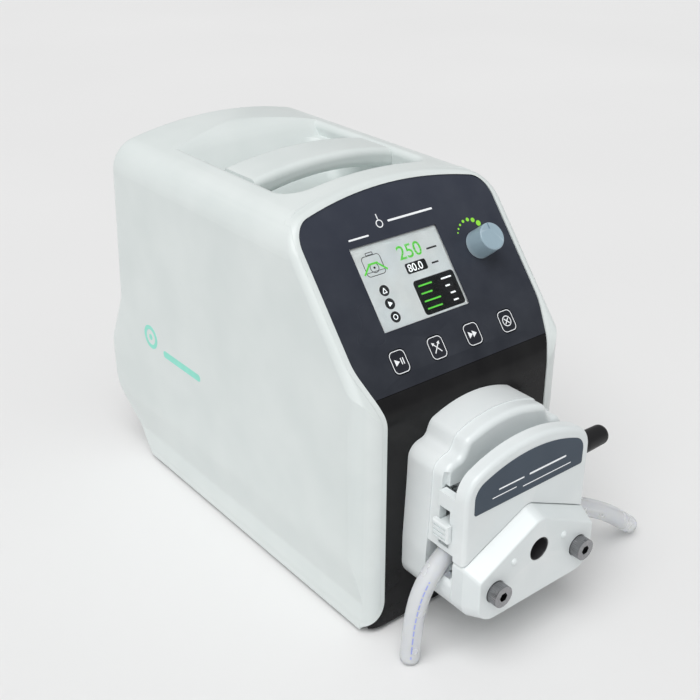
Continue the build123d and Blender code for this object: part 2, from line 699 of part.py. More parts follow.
with BuildPart() as switch_bezel:
    add(rear_block(rocker_x, rocker_z, rocker_size[0] + 4, rocker_size[1] + 4, -panel_d,
                   -panel_d + 1.6))
    add(rear_block(rocker_x, rocker_z, rocker_size[0] - 0.4, rocker_size[1] - 0.4, bay_y - 14,
                   -panel_d))
    add(rear_block(rocker_x, rocker_z, 16.8, 12.4, bay_y - 12, 400), mode=Mode.SUBTRACT)
finish(switch_bezel.part, "switch_bezel")

with BuildPart() as power_switch:
    with BuildSketch(Plane.YZ.offset(rocker_x - 8.0)):
        with BuildLine():
            pivot_y = bay_y - 4.0
            nose = (pivot_y + 8.2, rocker_z - 4.2)
            heel = (pivot_y + 6.4, rocker_z + 4.2)
            Polyline(nose, (pivot_y + 6.6, rocker_z), heel, (pivot_y - 2, rocker_z + 3.6),
                     (pivot_y - 4, rocker_z), (pivot_y - 2, rocker_z - 3.6), nose)
        make_face()
    extrude(amount=16.0)
finish(power_switch.part, "power_switch")

with BuildPart() as signal_socket:
    add(rear_block(socket_x, socket_z, socket_size[0] + 8, socket_size[1] + 1.5, -panel_d,
                   -panel_d + 1.2))
    add(rear_block(socket_x, socket_z, socket_size[0] - 0.6, socket_size[1] - 0.6, bay_y - 9,
                   -panel_d + 5.5))
    for column in range(8):
        with Locations(Plane((socket_x - 9.8 + 2.8 * column, -panel_d + 5.5, socket_z + 1.6),
                             z_dir=(0, 1, 0))):
            Cylinder(0.6, 6, mode=Mode.SUBTRACT)
    for side in (-1, 1):
        add(rod(socket_x + side * 16.7, socket_z, 2.6, panel_d - 5.5, panel_d - 1.2))
finish(signal_socket.part, "signal_socket")

# ---------------------------------------------------------------- pump head bodies
pocket_d = 128.5
bearing_d0, bearing_d1 = 119.5, 127.5
bearing_radius = 14.0
collar_radius = 9.0
plate_d0, plate_d1 = 129.0, cover_rear_d
screw_start_d = 125.0
screw_places = [(-screw_x, screw_z), (screw_x, screw_z)]
spring_x, spring_d = 30.0, 135.0
window_half = 43.2
window_top_z = 107.0
wall_low_z = 70.0
wall_front_d = 138.3
flange_room_x = 42.0       # notch that the lifted left flange rises into
flange_room_z = 115.8
slope = math.tan(math.radians(leg_angle))


def mirrored(right, top_middle=None):
    """Closed front-view outline from its right-hand points, bottom to top."""
    left = [(-x, z) for x, z in reversed(right)]
    with BuildLine() as loop:
        Polyline(*left, *right)
        if top_middle:
            ThreePointArc(right[-1], top_middle, left[0])
        else:
            Line(right[-1], left[0])
    return loop.line


def head_outline(inset=0.0):
    """Back of the pump head seen from the front."""
    right = [(head_half, head_bottom_z), (head_half, 60), (46.2, 100), (45.6, 119), (34, 121.5),
             (30.5, 130.3)]
    with BuildSketch() as outline:
        add(mirrored(right, (0, 137)))
        make_face()
        for side in (-1, 1):
            fillet(near(outline.vertices(), side * head_half, head_bottom_z), head_corner)
            fillet(near(outline.vertices(), side * 45.6, 119), 9)
            fillet(near(outline.vertices(), side * 34, 121.5), 5)
            fillet(near(outline.vertices(), side * 30.5, 130.3), 6)
        if inset:
            offset(amount=-inset, kind=Kind.INTERSECTION)
    return outline.sketch


def head_box(x0, x1, d0, d1, z0, z1):
    """Block from its front-view corners and two depths."""
    return box_between((x0, -d1, z0), (x1, -d0, z1))


with BuildPart() as head_rear_body:
    add(front_prism(head_outline(), face_d, seam_d))
    add(rod(head_x, head_z, collar_radius + 0.6, face_d - 1, bearing_d0), mode=Mode.SUBTRACT)
    add(rod(head_x, head_z, bearing_radius, bearing_d0, bearing_d1), mode=Mode.SUBTRACT)
    add(rod(head_x, head_z, bearing_radius - 2, bearing_d1, pocket_d), mode=Mode.SUBTRACT)
    add(rod(head_x, head_z, plate_radius + 1.5, pocket_d, seam_d + 1), mode=Mode.SUBTRACT)
    for hole_x, hole_z in screw_places:
        add(rod(hole_x, hole_z, screw_shank, screw_start_d - 2, seam_d + 1), mode=Mode.SUBTRACT)
finish(head_rear_body.part, "head_rear_body")

with BuildPart() as head_mid_ring:
    add(front_prism(head_outline(0.6), seam_d, ring_front_d))
    arch = [edge for edge in head_mid_ring.faces().sort_by(Axis.Y)[0].edges()
            if edge.center().Z > window_top_z + 2]
    fillet(arch, 3.5)
    add(head_box(-far, far, wall_front_d, ring_front_d + 1, -far, window_top_z), mode=Mode.SUBTRACT)
    add(head_box(-far, far, seam_d - 1, ring_front_d, -far, wall_low_z), mode=Mode.SUBTRACT)
    add(head_box(-window_half, window_half, seam_d - 1, ring_front_d, -far, window_top_z),
        mode=Mode.SUBTRACT)
    add(head_box(-far, -flange_room_x, wall_front_d, ring_front_d + 1, window_top_z - 1,
                 flange_room_z), mode=Mode.SUBTRACT)
    add(rod(0, pivot_z, 3, 137, far), mode=Mode.SUBTRACT)
finish(head_mid_ring.part, "head_mid_ring")

lower_half = 48.0
lower_top_z = 50.95
jaw_out0, jaw_out1 = 44.0, 46.0
jaw_seat_z = 45.0
with BuildPart() as head_lower_body:
    with BuildSketch(front_plane(seam_d)) as lower:
        with BuildLine():
            Polyline((-lower_half, lower_top_z), (-lower_half, head_bottom_z),
                     (lower_half, head_bottom_z), (lower_half, lower_top_z),
                     (0, lower_top_z + lower_half * slope), (-lower_half, lower_top_z))
        make_face()
        for side in (-1, 1):
            fillet(near(lower.vertices(), side * lower_half, head_bottom_z), head_corner)
            fillet(near(lower.vertices(), side * lower_half, lower_top_z), 6)
    extrude(amount=cover_rear_d + moving_gap - seam_d)
    add(rod(head_x, head_z, roller_envelope + 1.6, seam_d - 1, far), mode=Mode.SUBTRACT)
    for hole_x, hole_z in screw_places:
        add(rod(hole_x, hole_z, screw_shank + 0.15, seam_d - 1, far), mode=Mode.SUBTRACT)
    for side in (-1, 1):
        add(head_box(*sorted((side * (jaw_out0 - 0.1), side * (jaw_out1 + 0.1))), roller_d0 - 0.1,
                     roller_d1 + 0.1, jaw_seat_z, far), mode=Mode.SUBTRACT)
finish(head_lower_body.part, "head_lower_body")


def nose_outline(half, apex_z, shoulder_z, bottom_z):
    """House-shaped outline of the head's lower front piece."""
    with BuildSketch() as outline:
        with BuildLine():
            Polyline((-half, shoulder_z), (-half, bottom_z), (half, bottom_z), (half, shoulder_z),
                     (0, apex_z), (-half, shoulder_z))
        make_face()
        fillet(near(outline.vertices(), 0, apex_z), 8)
        for side in (-1, 1):
            fillet(near(outline.vertices(), side * half, bottom_z), 13)
            fillet(near(outline.vertices(), side * half, shoulder_z), 3)
    return outline.sketch


nose_base = nose_outline(47.5, 88.3, 65.9, 30.3)
front_bearing_d0, front_bearing_d1 = 152.0, 158.0
front_bearing_radius = 12.0
screw_seat_d = nose_d - 1.9
with BuildPart() as head_front_piece:
    add(front_prism(nose_base, cover_rear_d + moving_gap, cover_front_d))
    with BuildSketch(front_plane(cover_front_d)):
        add(nose_base)
    with BuildSketch(front_plane(nose_d)):
        add(nose_outline(44.8, 84.2, 61.3, 33.0))
    loft(ruled=True)
    rim_edges = head_front_piece.faces().sort_by(Axis.Y)[0].edges()
    fillet(rim_edges, 1.2)
    add(rod(head_x, head_z, front_bearing_radius, cover_rear_d, front_bearing_d1),
        mode=Mode.SUBTRACT)
    add(rod(head_x, head_z, stack_bore, front_bearing_d1, far), mode=Mode.SUBTRACT)
    for hole_x, hole_z in screw_places:
        add(rod(hole_x, hole_z, screw_shank + 0.15, cover_rear_d, far), mode=Mode.SUBTRACT)
        add(rod(hole_x, hole_z, screw_head_radius + 0.3, screw_seat_d, far), mode=Mode.SUBTRACT)
    for side in (-1, 1):
        boss = Pos(side * boss_x, -nose_d + 0.9, boss_z) * Sphere(2.5, mode=Mode.PRIVATE)
        add(boss)
finish(head_front_piece.part, "head_front_piece")

block_step_z = 90.5
with BuildPart() as upper_block:
    with BuildSketch(front_plane(seam_d + moving_gap)):
        with BuildLine():
            Polyline((-bed_half, 45), (bed_half, 45), (bed_half, block_step_z), (24, block_step_z),
                     (16, block_top_z), (-16, block_top_z), (-24, block_step_z),
                     (-bed_half, block_step_z), (-bed_half, 45))
        make_face()
        with Locations((head_x, head_z)):
            Circle(bed_radius, mode=Mode.SUBTRACT)
        for side in (-1, 1):
            with BuildLine():
                Polyline((0, 40), (side * 14.6, 85.6), (side * 28.0, 80.6), (side * 52.2, 62.7),
                         (side * 52.2, 40), (0, 40))
            make_face(mode=Mode.SUBTRACT)
    extrude(amount=149.5 - seam_d - moving_gap)
finish(upper_block.part, "upper_block")

cover_half_x = 47.5
cover_low_z, cover_peak_z = 66.8, 89.0
cover_side_top = 116.4
flange_d = 138.7
flange_inner = 42.5
slot_d0, slot_d1 = 139.5, 147.5
flange_tops = {-1: 106.0, 1: 91.5}
slot_z = {-1: (73.0, 97.0), 1: (72.0, 88.5)}
flange_low_z = 70.0
with BuildPart() as front_cover:
    with BuildSketch(front_plane(cover_rear_d)) as cover_face:
        with BuildLine():
            Polyline((-cover_half_x, cover_side_top), (-cover_half_x, cover_low_z),
                     (0, cover_peak_z), (cover_half_x, cover_low_z), (cover_half_x, cover_side_top))
            ThreePointArc((cover_half_x, cover_side_top), (0, 130), (-cover_half_x, cover_side_top))
        make_face()
        for side in (-1, 1):
            fillet(near(cover_face.vertices(), side * cover_half_x, cover_side_top), 16)
        fillet(near(cover_face.vertices(), 0, cover_peak_z), 8)
    extrude(amount=cover_front_d - cover_rear_d)
    outer = [edge for edge in front_cover.faces().sort_by(Axis.Y)[0].edges()
             if abs(edge.center().X) > cover_half_x - 8 or edge.center().Z > 100]
    outer = [edge for edge in outer if edge.center().Z > cover_low_z + 12]
    fillet(outer, 2.8)
    for side in (-1, 1):
        inner_x, outer_x = side * flange_inner, side * cover_half_x
        low_x, high_x = sorted((inner_x, outer_x))
        flange = head_box(low_x, high_x, flange_d, cover_rear_d, flange_low_z, flange_tops[side])
        slot = head_box(low_x - 1, high_x + 1, slot_d0, slot_d1, *slot_z[side])
        add(flange - slot)
finish(front_cover.part, "front_cover")

with BuildPart() as cover_label:
    with BuildSketch(front_plane(cover_front_d)) as label_face:
        with BuildLine():
            Polyline((-41.65, 113.4), (-41.65, 97.7), (41.65, 97.7), (41.65, 113.4))
            ThreePointArc((41.65, 113.4), (0, 123.4), (-41.65, 113.4))
        make_face()
        for side in (-1, 1):
            fillet(near(label_face.vertices(), side * 41.65, 113.4), 10)
            fillet(near(label_face.vertices(), side * 41.65, 97.7), 1.5)
    extrude(amount=0.25)
finish(cover_label.part, "cover_label")

# ---------------------------------------------------------------- lever
arm_d0, arm_d1 = 142.0, 150.0
cam_high, cam_low = 15.0, 5.6
with BuildPart() as lever_arm:
    with BuildSketch(front_plane(arm_d0)):
        with BuildLine():
            steps = 24
            spiral = []
            for step in range(steps + 1):
                turn = math.pi * step / steps
                reach = cam_high - (cam_high - cam_low) * step / steps
                spiral.append((-reach * math.sin(turn), pivot_z - reach * math.cos(turn)))
            Spline(*spiral)
            Polyline(spiral[-1], (4, pivot_z + cam_low), (12, pivot_z - 1), (26, lever_z + 4),
                     (grip_start_x, lever_z + 4), (grip_start_x, lever_z - 4), (23, lever_z - 4),
                     (14, lever_z - 0.2), (3, spiral[0][1]), spiral[0])
        make_face()
    extrude(amount=arm_d1 - arm_d0)
    add(rod(0, pivot_z, 3 + running_gap, arm_d0 - 1, far), mode=Mode.SUBTRACT)
finish(lever_arm.part, "lever_arm")

grip_d = (arm_d0 + arm_d1) / 2
with BuildPart() as lever_grip:
    with BuildSketch(Plane.XY.offset(lever_z)) as grip_half:
        with BuildLine():
            Polyline((grip_start_x, -grip_d), (grip_start_x, grip_radius - 0.5 - grip_d),
                     (grip_start_x + 6, grip_radius - grip_d), (grip_tip_x, 5.9 - grip_d),
                     (grip_tip_x, -grip_d), (grip_start_x, -grip_d))
        make_face()
        fillet(near(grip_half.vertices(), grip_tip_x, 5.9 - grip_d), 4.0)
        fillet(near(grip_half.vertices(), grip_start_x, grip_radius - 0.5 - grip_d), 1.0)
    revolve(axis=Axis((0, -grip_d, lever_z), (1, 0, 0)))
finish(lever_grip.part, "lever_grip")

with BuildPart() as lever_pin:
    add(rod(0, pivot_z, 3, 137, 150.5))
finish(lever_pin.part, "lever_pin")

# ---------------------------------------------------------------- rotor
orbit = roller_envelope - roller_radius
roller_pin_radius = 2.5
mid_shaft_radius = roller_envelope - 2 * roller_radius - 0.9
roller_places = [(head_x + orbit * math.sin(math.radians(turn)),
                  head_z + orbit * math.cos(math.radians(turn))) for turn in (0, 120, 240)]
with BuildPart() as rotor_shaft:
    add(rod(head_x, head_z, collar_radius, shaft_start_d, bearing_d0 - 0.5))
    add(rod(head_x, head_z, shaft_radius, bearing_d0 - 0.5, plate_d0 + plate_thick))
    add(rod(head_x, head_z, mid_shaft_radius, plate_d0 + plate_thick, plate_d1 - plate_thick))
    add(rod(head_x, head_z, shaft_radius, plate_d1 - plate_thick, front_bearing_d1 - 0.2))
    add(head_box(-far, far, shaft_start_d - 1, tang_d + 0.3, head_z - 2.05, head_z + 2.05),
        mode=Mode.SUBTRACT)
    add(head_box(-far, far, front_bearing_d1 - 2, far, head_z - 2.05, head_z + 2.05),
        mode=Mode.SUBTRACT)
finish(rotor_shaft.part, "rotor_shaft")

with BuildPart() as rotor_plates:
    for near_d in (plate_d0, plate_d1 - plate_thick):
        add(rod(head_x, head_z, plate_radius, near_d, near_d + plate_thick))
    add(rod(head_x, head_z, shaft_radius, plate_d0 - 1, far), mode=Mode.SUBTRACT)
    for place_x, place_z in roller_places:
        add(rod(place_x, place_z, roller_pin_radius, plate_d0, plate_d1))
finish(rotor_plates.part, "rotor_plates")

for index, (place_x, place_z) in enumerate(roller_places):
    with BuildPart() as roller:
        add(rod(place_x, place_z, roller_radius, roller_d0, roller_d1))
        chamfer(roller.edges(), 0.5)
        add(rod(place_x, place_z, roller_pin_radius + running_gap, roller_d0 - 1, far),
            mode=Mode.SUBTRACT)
    finish(roller.part, f"roller_{index + 1}")

with BuildPart() as rear_bearing:
    add(rod(head_x, head_z, bearing_radius, bearing_d0, bearing_d1))
    add(rod(head_x, head_z, shaft_radius + running_gap, bearing_d0 - 1, far), mode=Mode.SUBTRACT)
finish(rear_bearing.part, "rear_bearing")

with BuildPart() as front_bearing:
    add(rod(head_x, head_z, front_bearing_radius, front_bearing_d0, front_bearing_d1))
    add(rod(head_x, head_z, shaft_radius + running_gap, front_bearing_d0 - 1, far),
        mode=Mode.SUBTRACT)
finish(front_bearing.part, "front_bearing")

# ---------------------------------------------------------------- fixing screws
flutes = 36
socket_half = 2.5
with BuildPart() as front_screws:
    for hole_x, hole_z in screw_places:
        add(rod(hole_x, hole_z, screw_shank, screw_start_d, screw_seat_d))
        with BuildPart() as head:
            with BuildSketch(front_plane(screw_seat_d)):
                with Locations((hole_x, hole_z)):
                    Circle(screw_head_radius)
                    with PolarLocations(screw_head_radius, flutes):
                        Circle(0.3, mode=Mode.SUBTRACT)
            extrude(amount=screw_head_height)
            with BuildSketch(front_plane(screw_seat_d + screw_head_height)):
                with Locations((hole_x, hole_z)):
                    RegularPolygon(socket_half, 6, major_radius=False)
            extrude(amount=-4, mode=Mode.SUBTRACT)
        add(head.part)
finish(front_screws.part, "front_screws")

# ---------------------------------------------------------------- tube retainers
jaw_in0, jaw_in1 = 38.5, 40.5
tube_end_x = 40.0
tube_end_z = 64.1
stem_z = {-1: (79.0, 88.0), 1: (72.5, 81.5)}
jaw_z = {-1: (69.0, 90.0), 1: (67.0, 86.0)}
notch_z = {-1: 77.0, 1: 74.8}
side_names = {-1: "left", 1: "right"}


def notched_jaw(x0, x1, z0, z1, apex_z, upwards):
    """Thin plate across the tube with a right-angled notch."""
    low_x, high_x = sorted((x0, x1))
    reach = 40.0 if upwards else -40.0
    with BuildPart() as jaw:
        add(head_box(low_x, high_x, roller_d0 - 0.1, roller_d1 + 0.1, z0, z1))
        with BuildSketch(Plane.YZ.offset(low_x - 1)):
            with BuildLine():
                Polyline((-tube_d, apex_z), (-tube_d - 40, apex_z + reach),
                         (-tube_d + 40, apex_z + reach), (-tube_d, apex_z))
            make_face()
        extrude(amount=high_x - low_x + 2, mode=Mode.SUBTRACT)
    return jaw.part


for side, side_name in side_names.items():
    low_z, high_z = stem_z[side]
    with BuildPart() as retainer:
        stem_x0, stem_x1 = sorted((side * jaw_in1, side * (cover_half_x + 0.3)))
        add(head_box(stem_x0, stem_x1, slot_d0 + 0.4, slot_d1 - 0.4, low_z, high_z))
        knob_x0, knob_x1 = sorted((side * (cover_half_x + 0.3), side * 51))
        with BuildPart() as pad:
            add(head_box(knob_x0, knob_x1, slot_d0 - 2, slot_d1 + 2, low_z - 1, high_z + 1))
            outward = pad.faces().sort_by(Axis.X)[-1 if side > 0 else 0]
            fillet(outward.edges(), 1.2)
            for groove in (-3, 0, 3):
                middle = (low_z + high_z) / 2 + groove
                add(head_box(*sorted((side * 50.4, side * 52)), slot_d0 - 0.5, slot_d1 + 0.5,
                             middle - 0.5, middle + 0.5), mode=Mode.SUBTRACT)
        add(pad.part)
    finish(retainer.part, f"retainer_{side_name}")
    jaw_part = notched_jaw(side * jaw_in0, side * jaw_in1, *jaw_z[side], notch_z[side], False)
    finish(jaw_part, f"retainer_jaw_{side_name}")

with BuildPart() as lower_jaws:
    for side in (-1, 1):
        add(notched_jaw(side * jaw_out0, side * jaw_out1, jaw_seat_z, 57.0, 50.0, True))
finish(lower_jaws.part, "lower_jaws")

# ---------------------------------------------------------------- tube
band_inner, band_outer = 21.7, 25.7
band_half = (roller_d1 - roller_d0) / 2
band_radius = (band_inner + band_outer) / 2
flat_run = 4.0             # the band stays flat this far past the last roller contact
round_x = 26.9
leg = math.radians(leg_angle)
band_end = (band_radius * math.sin(leg) + flat_run * math.cos(leg),
            head_z + band_radius * math.cos(leg) - flat_run * math.sin(leg))
round_z = band_end[1] - (round_x - band_end[0]) * slope
leg_length = (tube_end_x - round_x) / math.cos(leg)
with BuildPart() as pump_tube:
    with BuildSketch(front_plane(tube_d - band_half)):
        with BuildLine():
            ThreePointArc((-band_outer * math.sin(leg), head_z + band_outer * math.cos(leg)),
                          (0, head_z + band_outer),
                          (band_outer * math.sin(leg), head_z + band_outer * math.cos(leg)))
            Line((band_outer * math.sin(leg), head_z + band_outer * math.cos(leg)),
                 (band_inner * math.sin(leg), head_z + band_inner * math.cos(leg)))
            ThreePointArc((band_inner * math.sin(leg), head_z + band_inner * math.cos(leg)),
                          (0, head_z + band_inner),
                          (-band_inner * math.sin(leg), head_z + band_inner * math.cos(leg)))
            Line((-band_inner * math.sin(leg), head_z + band_inner * math.cos(leg)),
                 (-band_outer * math.sin(leg), head_z + band_outer * math.cos(leg)))
        make_face()
    extrude(amount=2 * band_half)
    for side in (-1, 1):
        outward = (side * math.cos(leg), 0, -math.sin(leg))
        flat = Plane(origin=(side * band_end[0], -tube_d, band_end[1]), x_dir=(0, 1, 0),
                     z_dir=outward)
        rounded = Plane(origin=(side * round_x, -tube_d, round_z), x_dir=(0, 1, 0), z_dir=outward)
        with BuildSketch(flat):
            Rectangle(2 * band_half, band_outer - band_inner)
        extrude(amount=-flat_run)
        with BuildSketch(flat):
            RectangleRounded(2 * band_half, band_outer - band_inner, 1.9)
        with BuildSketch(rounded):
            Circle(tube_radius)
        loft()
        with BuildSketch(rounded):
            Circle(tube_radius)
        extrude(amount=leg_length)
        with BuildSketch(rounded):
            Circle(tube_bore)
        extrude(amount=leg_length, mode=Mode.SUBTRACT)
finish(pump_tube.part, "pump_tube")

tail_routes = {
    "tube_tail_left": [(-40.0, 64.1), (-50.84, 56.23), (-58.9, 45.3), (-63.1, 31.95),
                       (-65.0, 16.5), (-66.0, 1.5)],
    "tube_tail_right": [(40.0, 64.1), (54.0, 53.93), (74.0, 42.9), (94.0, 30.8), (110.0, 18.8),
                        (124.0, 6.5)],
}


def bend_radii(points):
    """Bend radius at each inner corner: its arc takes 0.45 of the shorter run beside it."""
    radii = []
    for before, corner, after in zip(points, points[1:], points[2:]):
        run_in = math.dist(before, corner)
        run_out = math.dist(corner, after)
        heading_in = math.atan2(corner[1] - before[1], corner[0] - before[0])
        heading_out = math.atan2(after[1] - corner[1], after[0] - corner[0])
        turn = abs(math.remainder(heading_out - heading_in, 2 * math.pi))
        radii.append(0.45 * min(run_in, run_out) / math.tan(turn / 2))
    return radii


for tail_name, points in tail_routes.items():
    radii = bend_radii(points)
    print(tail_name, "bend radii", [round(radius, 1) for radius in radii])
    with BuildPart() as tail:
        with BuildLine() as route:
            FilletPolyline(*[(x, -tube_d, z) for x, z in points], radius=radii)
        path = route.wires()[0]
        start = Plane(origin=path @ 0, x_dir=(0, 1, 0), z_dir=path % 0)
        with BuildSketch(start):
            Circle(tube_radius)
            Circle(tube_bore, mode=Mode.SUBTRACT)
        sweep(path=path)
    print(tail_name, "length", round(path.length, 1))
    finish(tail.part, tail_name)

# ---------------------------------------------------------------- lift springs
spring_wire = 0.5
spring_radius = 3.0
spring_low_z = block_step_z + 0.3
spring_high_z = window_top_z - 0.2
with BuildPart() as lift_springs:
    for side in (-1, 1):
        foot = (side * spring_x, -spring_d, spring_low_z + spring_wire)
        with BuildPart() as coil:
            with BuildLine(Plane(origin=foot)) as turns:
                Helix(pitch=2.5, height=spring_high_z - spring_low_z - 2 * spring_wire,
                      radius=spring_radius)
            with BuildSketch(Plane(origin=turns.line @ 0, z_dir=turns.line % 0)):
                Circle(spring_wire)
            sweep(path=turns.line, is_frenet=True)
        add(coil.part)
finish(lift_springs.part, "lift_springs")
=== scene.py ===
import json
import math

import bpy
from mathutils import Matrix, Vector


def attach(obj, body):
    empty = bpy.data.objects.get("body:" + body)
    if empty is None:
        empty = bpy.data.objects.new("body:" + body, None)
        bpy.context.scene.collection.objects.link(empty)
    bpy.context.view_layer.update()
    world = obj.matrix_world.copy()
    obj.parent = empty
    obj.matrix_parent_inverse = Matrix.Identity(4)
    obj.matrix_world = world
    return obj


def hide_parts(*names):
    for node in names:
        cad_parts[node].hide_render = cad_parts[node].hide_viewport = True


# A bench-top peristaltic pump: white drive with a slanted black keypad, and a white cassette head
# on its front whose rollers squeeze a clear tube. Metres, +Z up, the user stands at -Y.

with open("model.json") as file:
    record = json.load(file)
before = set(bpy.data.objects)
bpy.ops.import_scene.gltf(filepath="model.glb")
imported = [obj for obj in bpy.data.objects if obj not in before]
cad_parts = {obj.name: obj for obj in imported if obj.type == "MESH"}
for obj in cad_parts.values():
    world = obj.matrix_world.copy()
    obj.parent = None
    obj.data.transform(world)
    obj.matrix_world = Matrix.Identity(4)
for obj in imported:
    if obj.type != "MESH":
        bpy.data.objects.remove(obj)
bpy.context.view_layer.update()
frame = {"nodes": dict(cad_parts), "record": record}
nodes = frame["nodes"]


CAMERA_PLACE = (-0.3834, -0.4857, 0.4349)
CAMERA_ACROSS = Vector((0.78270, -0.62240, 0.0))
CAMERA_UPWARD = Vector((0.28380, 0.35690, 0.88998))
LENS, SENSOR = 56.57, 36.0


def studio_camera():
    """Camera from the left front, a little above."""
    camera = bpy.data.objects.new("studio_camera", bpy.data.cameras.new("studio_camera"))
    bpy.context.scene.collection.objects.link(camera)
    away = CAMERA_ACROSS.cross(CAMERA_UPWARD)
    turn = Matrix((CAMERA_ACROSS, CAMERA_UPWARD, away)).transposed().to_4x4()
    camera.matrix_world = Matrix.Translation(CAMERA_PLACE) @ turn
    camera.data.lens = LENS
    camera.data.sensor_width = SENSOR
    camera.data.clip_start = 0.01
    bpy.context.scene.camera = camera


studio_camera()

# ---------------------------------------------------------------- tube route
TUBE_PLANE = -0.140
TUBE_RADIUS = 0.0057
BORE_RADIUS = 0.0032
LEFT_ROUTE = [(-0.0400, 0.0641), (-0.05084, 0.05623), (-0.0589, 0.0453), (-0.0631, 0.03195),
              (-0.0650, 0.0165), (-0.0660, 0.0015)]
RIGHT_ROUTE = [(0.0400, 0.0641), (0.0540, 0.05393), (0.0740, 0.0429), (0.0940, 0.0308),
               (0.1100, 0.0188), (0.1240, 0.0065)]


def smooth_line(name, route):
    """Points along the tube's own smooth curve."""
    curve = bpy.data.curves.new(name + "_line", "CURVE")
    curve.dimensions = "3D"
    curve.resolution_u = 12
    spline = curve.splines.new("NURBS")
    spline.points.add(len(route) - 1)
    for point, (x, z) in zip(spline.points, route):
        point.co = (x, TUBE_PLANE, z, 1.0)
    spline.order_u = 3
    spline.use_endpoint_u = True
    holder = bpy.data.objects.new(name + "_line", curve)
    bpy.context.scene.collection.objects.link(holder)
    depsgraph = bpy.context.evaluated_depsgraph_get()
    mesh = bpy.data.meshes.new_from_object(holder.evaluated_get(depsgraph))
    points = [vertex.co.copy() for vertex in mesh.vertices]
    bpy.data.objects.remove(holder)
    bpy.data.meshes.remove(mesh)
    return points


def mesh_object(name, vertices, faces, smooth=False):
    """New object from plain vertex and face lists."""
    mesh = bpy.data.meshes.new(name)
    mesh.from_pydata([tuple(vertex) for vertex in vertices], [], faces)
    mesh.validate()
    if smooth:
        for face in mesh.polygons:
            face.use_smooth = True
    made = bpy.data.objects.new(name, mesh)
    bpy.context.scene.collection.objects.link(made)
    return made


def hose(name, points, outer, bore):
    """Hollow tube along a line, cut square at both ends, with slightly softened lips."""
    sides = 40
    lip = 0.00035
    vertices, faces = [], []
    count = len(points)
    rings = []
    for wall_radius, inward in ((outer, -1), (bore, 1)):
        for index, point in enumerate(points):
            before = points[max(index - 1, 0)]
            after = points[min(index + 1, count - 1)]
            heading = (after - before).normalized()
            flat = heading.cross(Vector((0, 1, 0))).normalized()
            reach = wall_radius
            if index in (0, count - 1):
                reach = wall_radius + inward * lip
            ring = len(vertices)
            for side in range(sides):
                turn = 2 * math.pi * side / sides
                vertices.append(point + reach * (math.cos(turn) * flat
                                                 + math.sin(turn) * Vector((0, 1, 0))))
            rings.append(ring)
    for wall in range(2):
        for index in range(count - 1):
            low = rings[wall * count + index]
            high = rings[wall * count + index + 1]
            for side in range(sides):
                following = (side + 1) % sides
                quad = (low + side, low + following, high + following, high + side)
                faces.append(quad if wall else quad[::-1])
    for index in (0, count - 1):
        outside, inside = rings[index], rings[count + index]
        for side in range(sides):
            following = (side + 1) % sides
            quad = (outside + side, outside + following, inside + following, inside + side)
            faces.append(quad if index == 0 else quad[::-1])
    return mesh_object(name, vertices, faces, smooth=True)


tubes = []
for side_name, route in (("left", LEFT_ROUTE), ("right", RIGHT_ROUTE)):
    line = smooth_line(f"tube_{side_name}", route)
    tail = hose(f"soft_tube_{side_name}", line, TUBE_RADIUS, BORE_RADIUS)
    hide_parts(f"tube_tail_{side_name}")
    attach(tail, "drive")
    tubes.append((tail, line))

# ---------------------------------------------------------------- shared surface effects


def link(tree, source, target):
    tree.links.new(source, target)


def moulded_skin_group():
    """Fine moulded grain, slow waviness and a faint uneven tone."""
    group = bpy.data.node_groups.new("moulded_skin", "ShaderNodeTree")
    for socket, usual in (("Grain Size", 900.0), ("Wave Size", 25.0)):
        made = group.interface.new_socket(socket, in_out="INPUT", socket_type="NodeSocketFloat")
        made.default_value = usual
    for socket in ("Height", "Tone"):
        group.interface.new_socket(socket, in_out="OUTPUT", socket_type="NodeSocketFloat")
    inside = group.nodes
    entry = inside.new("NodeGroupInput")
    leave = inside.new("NodeGroupOutput")
    place = inside.new("ShaderNodeTexCoord")
    grain = inside.new("ShaderNodeTexNoise")
    grain.inputs["Detail"].default_value = 3.0
    wave = inside.new("ShaderNodeTexNoise")
    wave.inputs["Detail"].default_value = 2.0
    mix = inside.new("ShaderNodeMath")
    mix.operation = "MULTIPLY_ADD"
    mix.inputs[1].default_value = 0.3
    link(group, place.outputs["Object"], grain.inputs["Vector"])
    link(group, place.outputs["Object"], wave.inputs["Vector"])
    link(group, entry.outputs["Grain Size"], grain.inputs["Scale"])
    link(group, entry.outputs["Wave Size"], wave.inputs["Scale"])
    link(group, grain.outputs["Fac"], mix.inputs[0])
    link(group, wave.outputs["Fac"], mix.inputs[2])
    link(group, mix.outputs["Value"], leave.inputs["Height"])
    link(group, wave.outputs["Fac"], leave.inputs["Tone"])
    return group


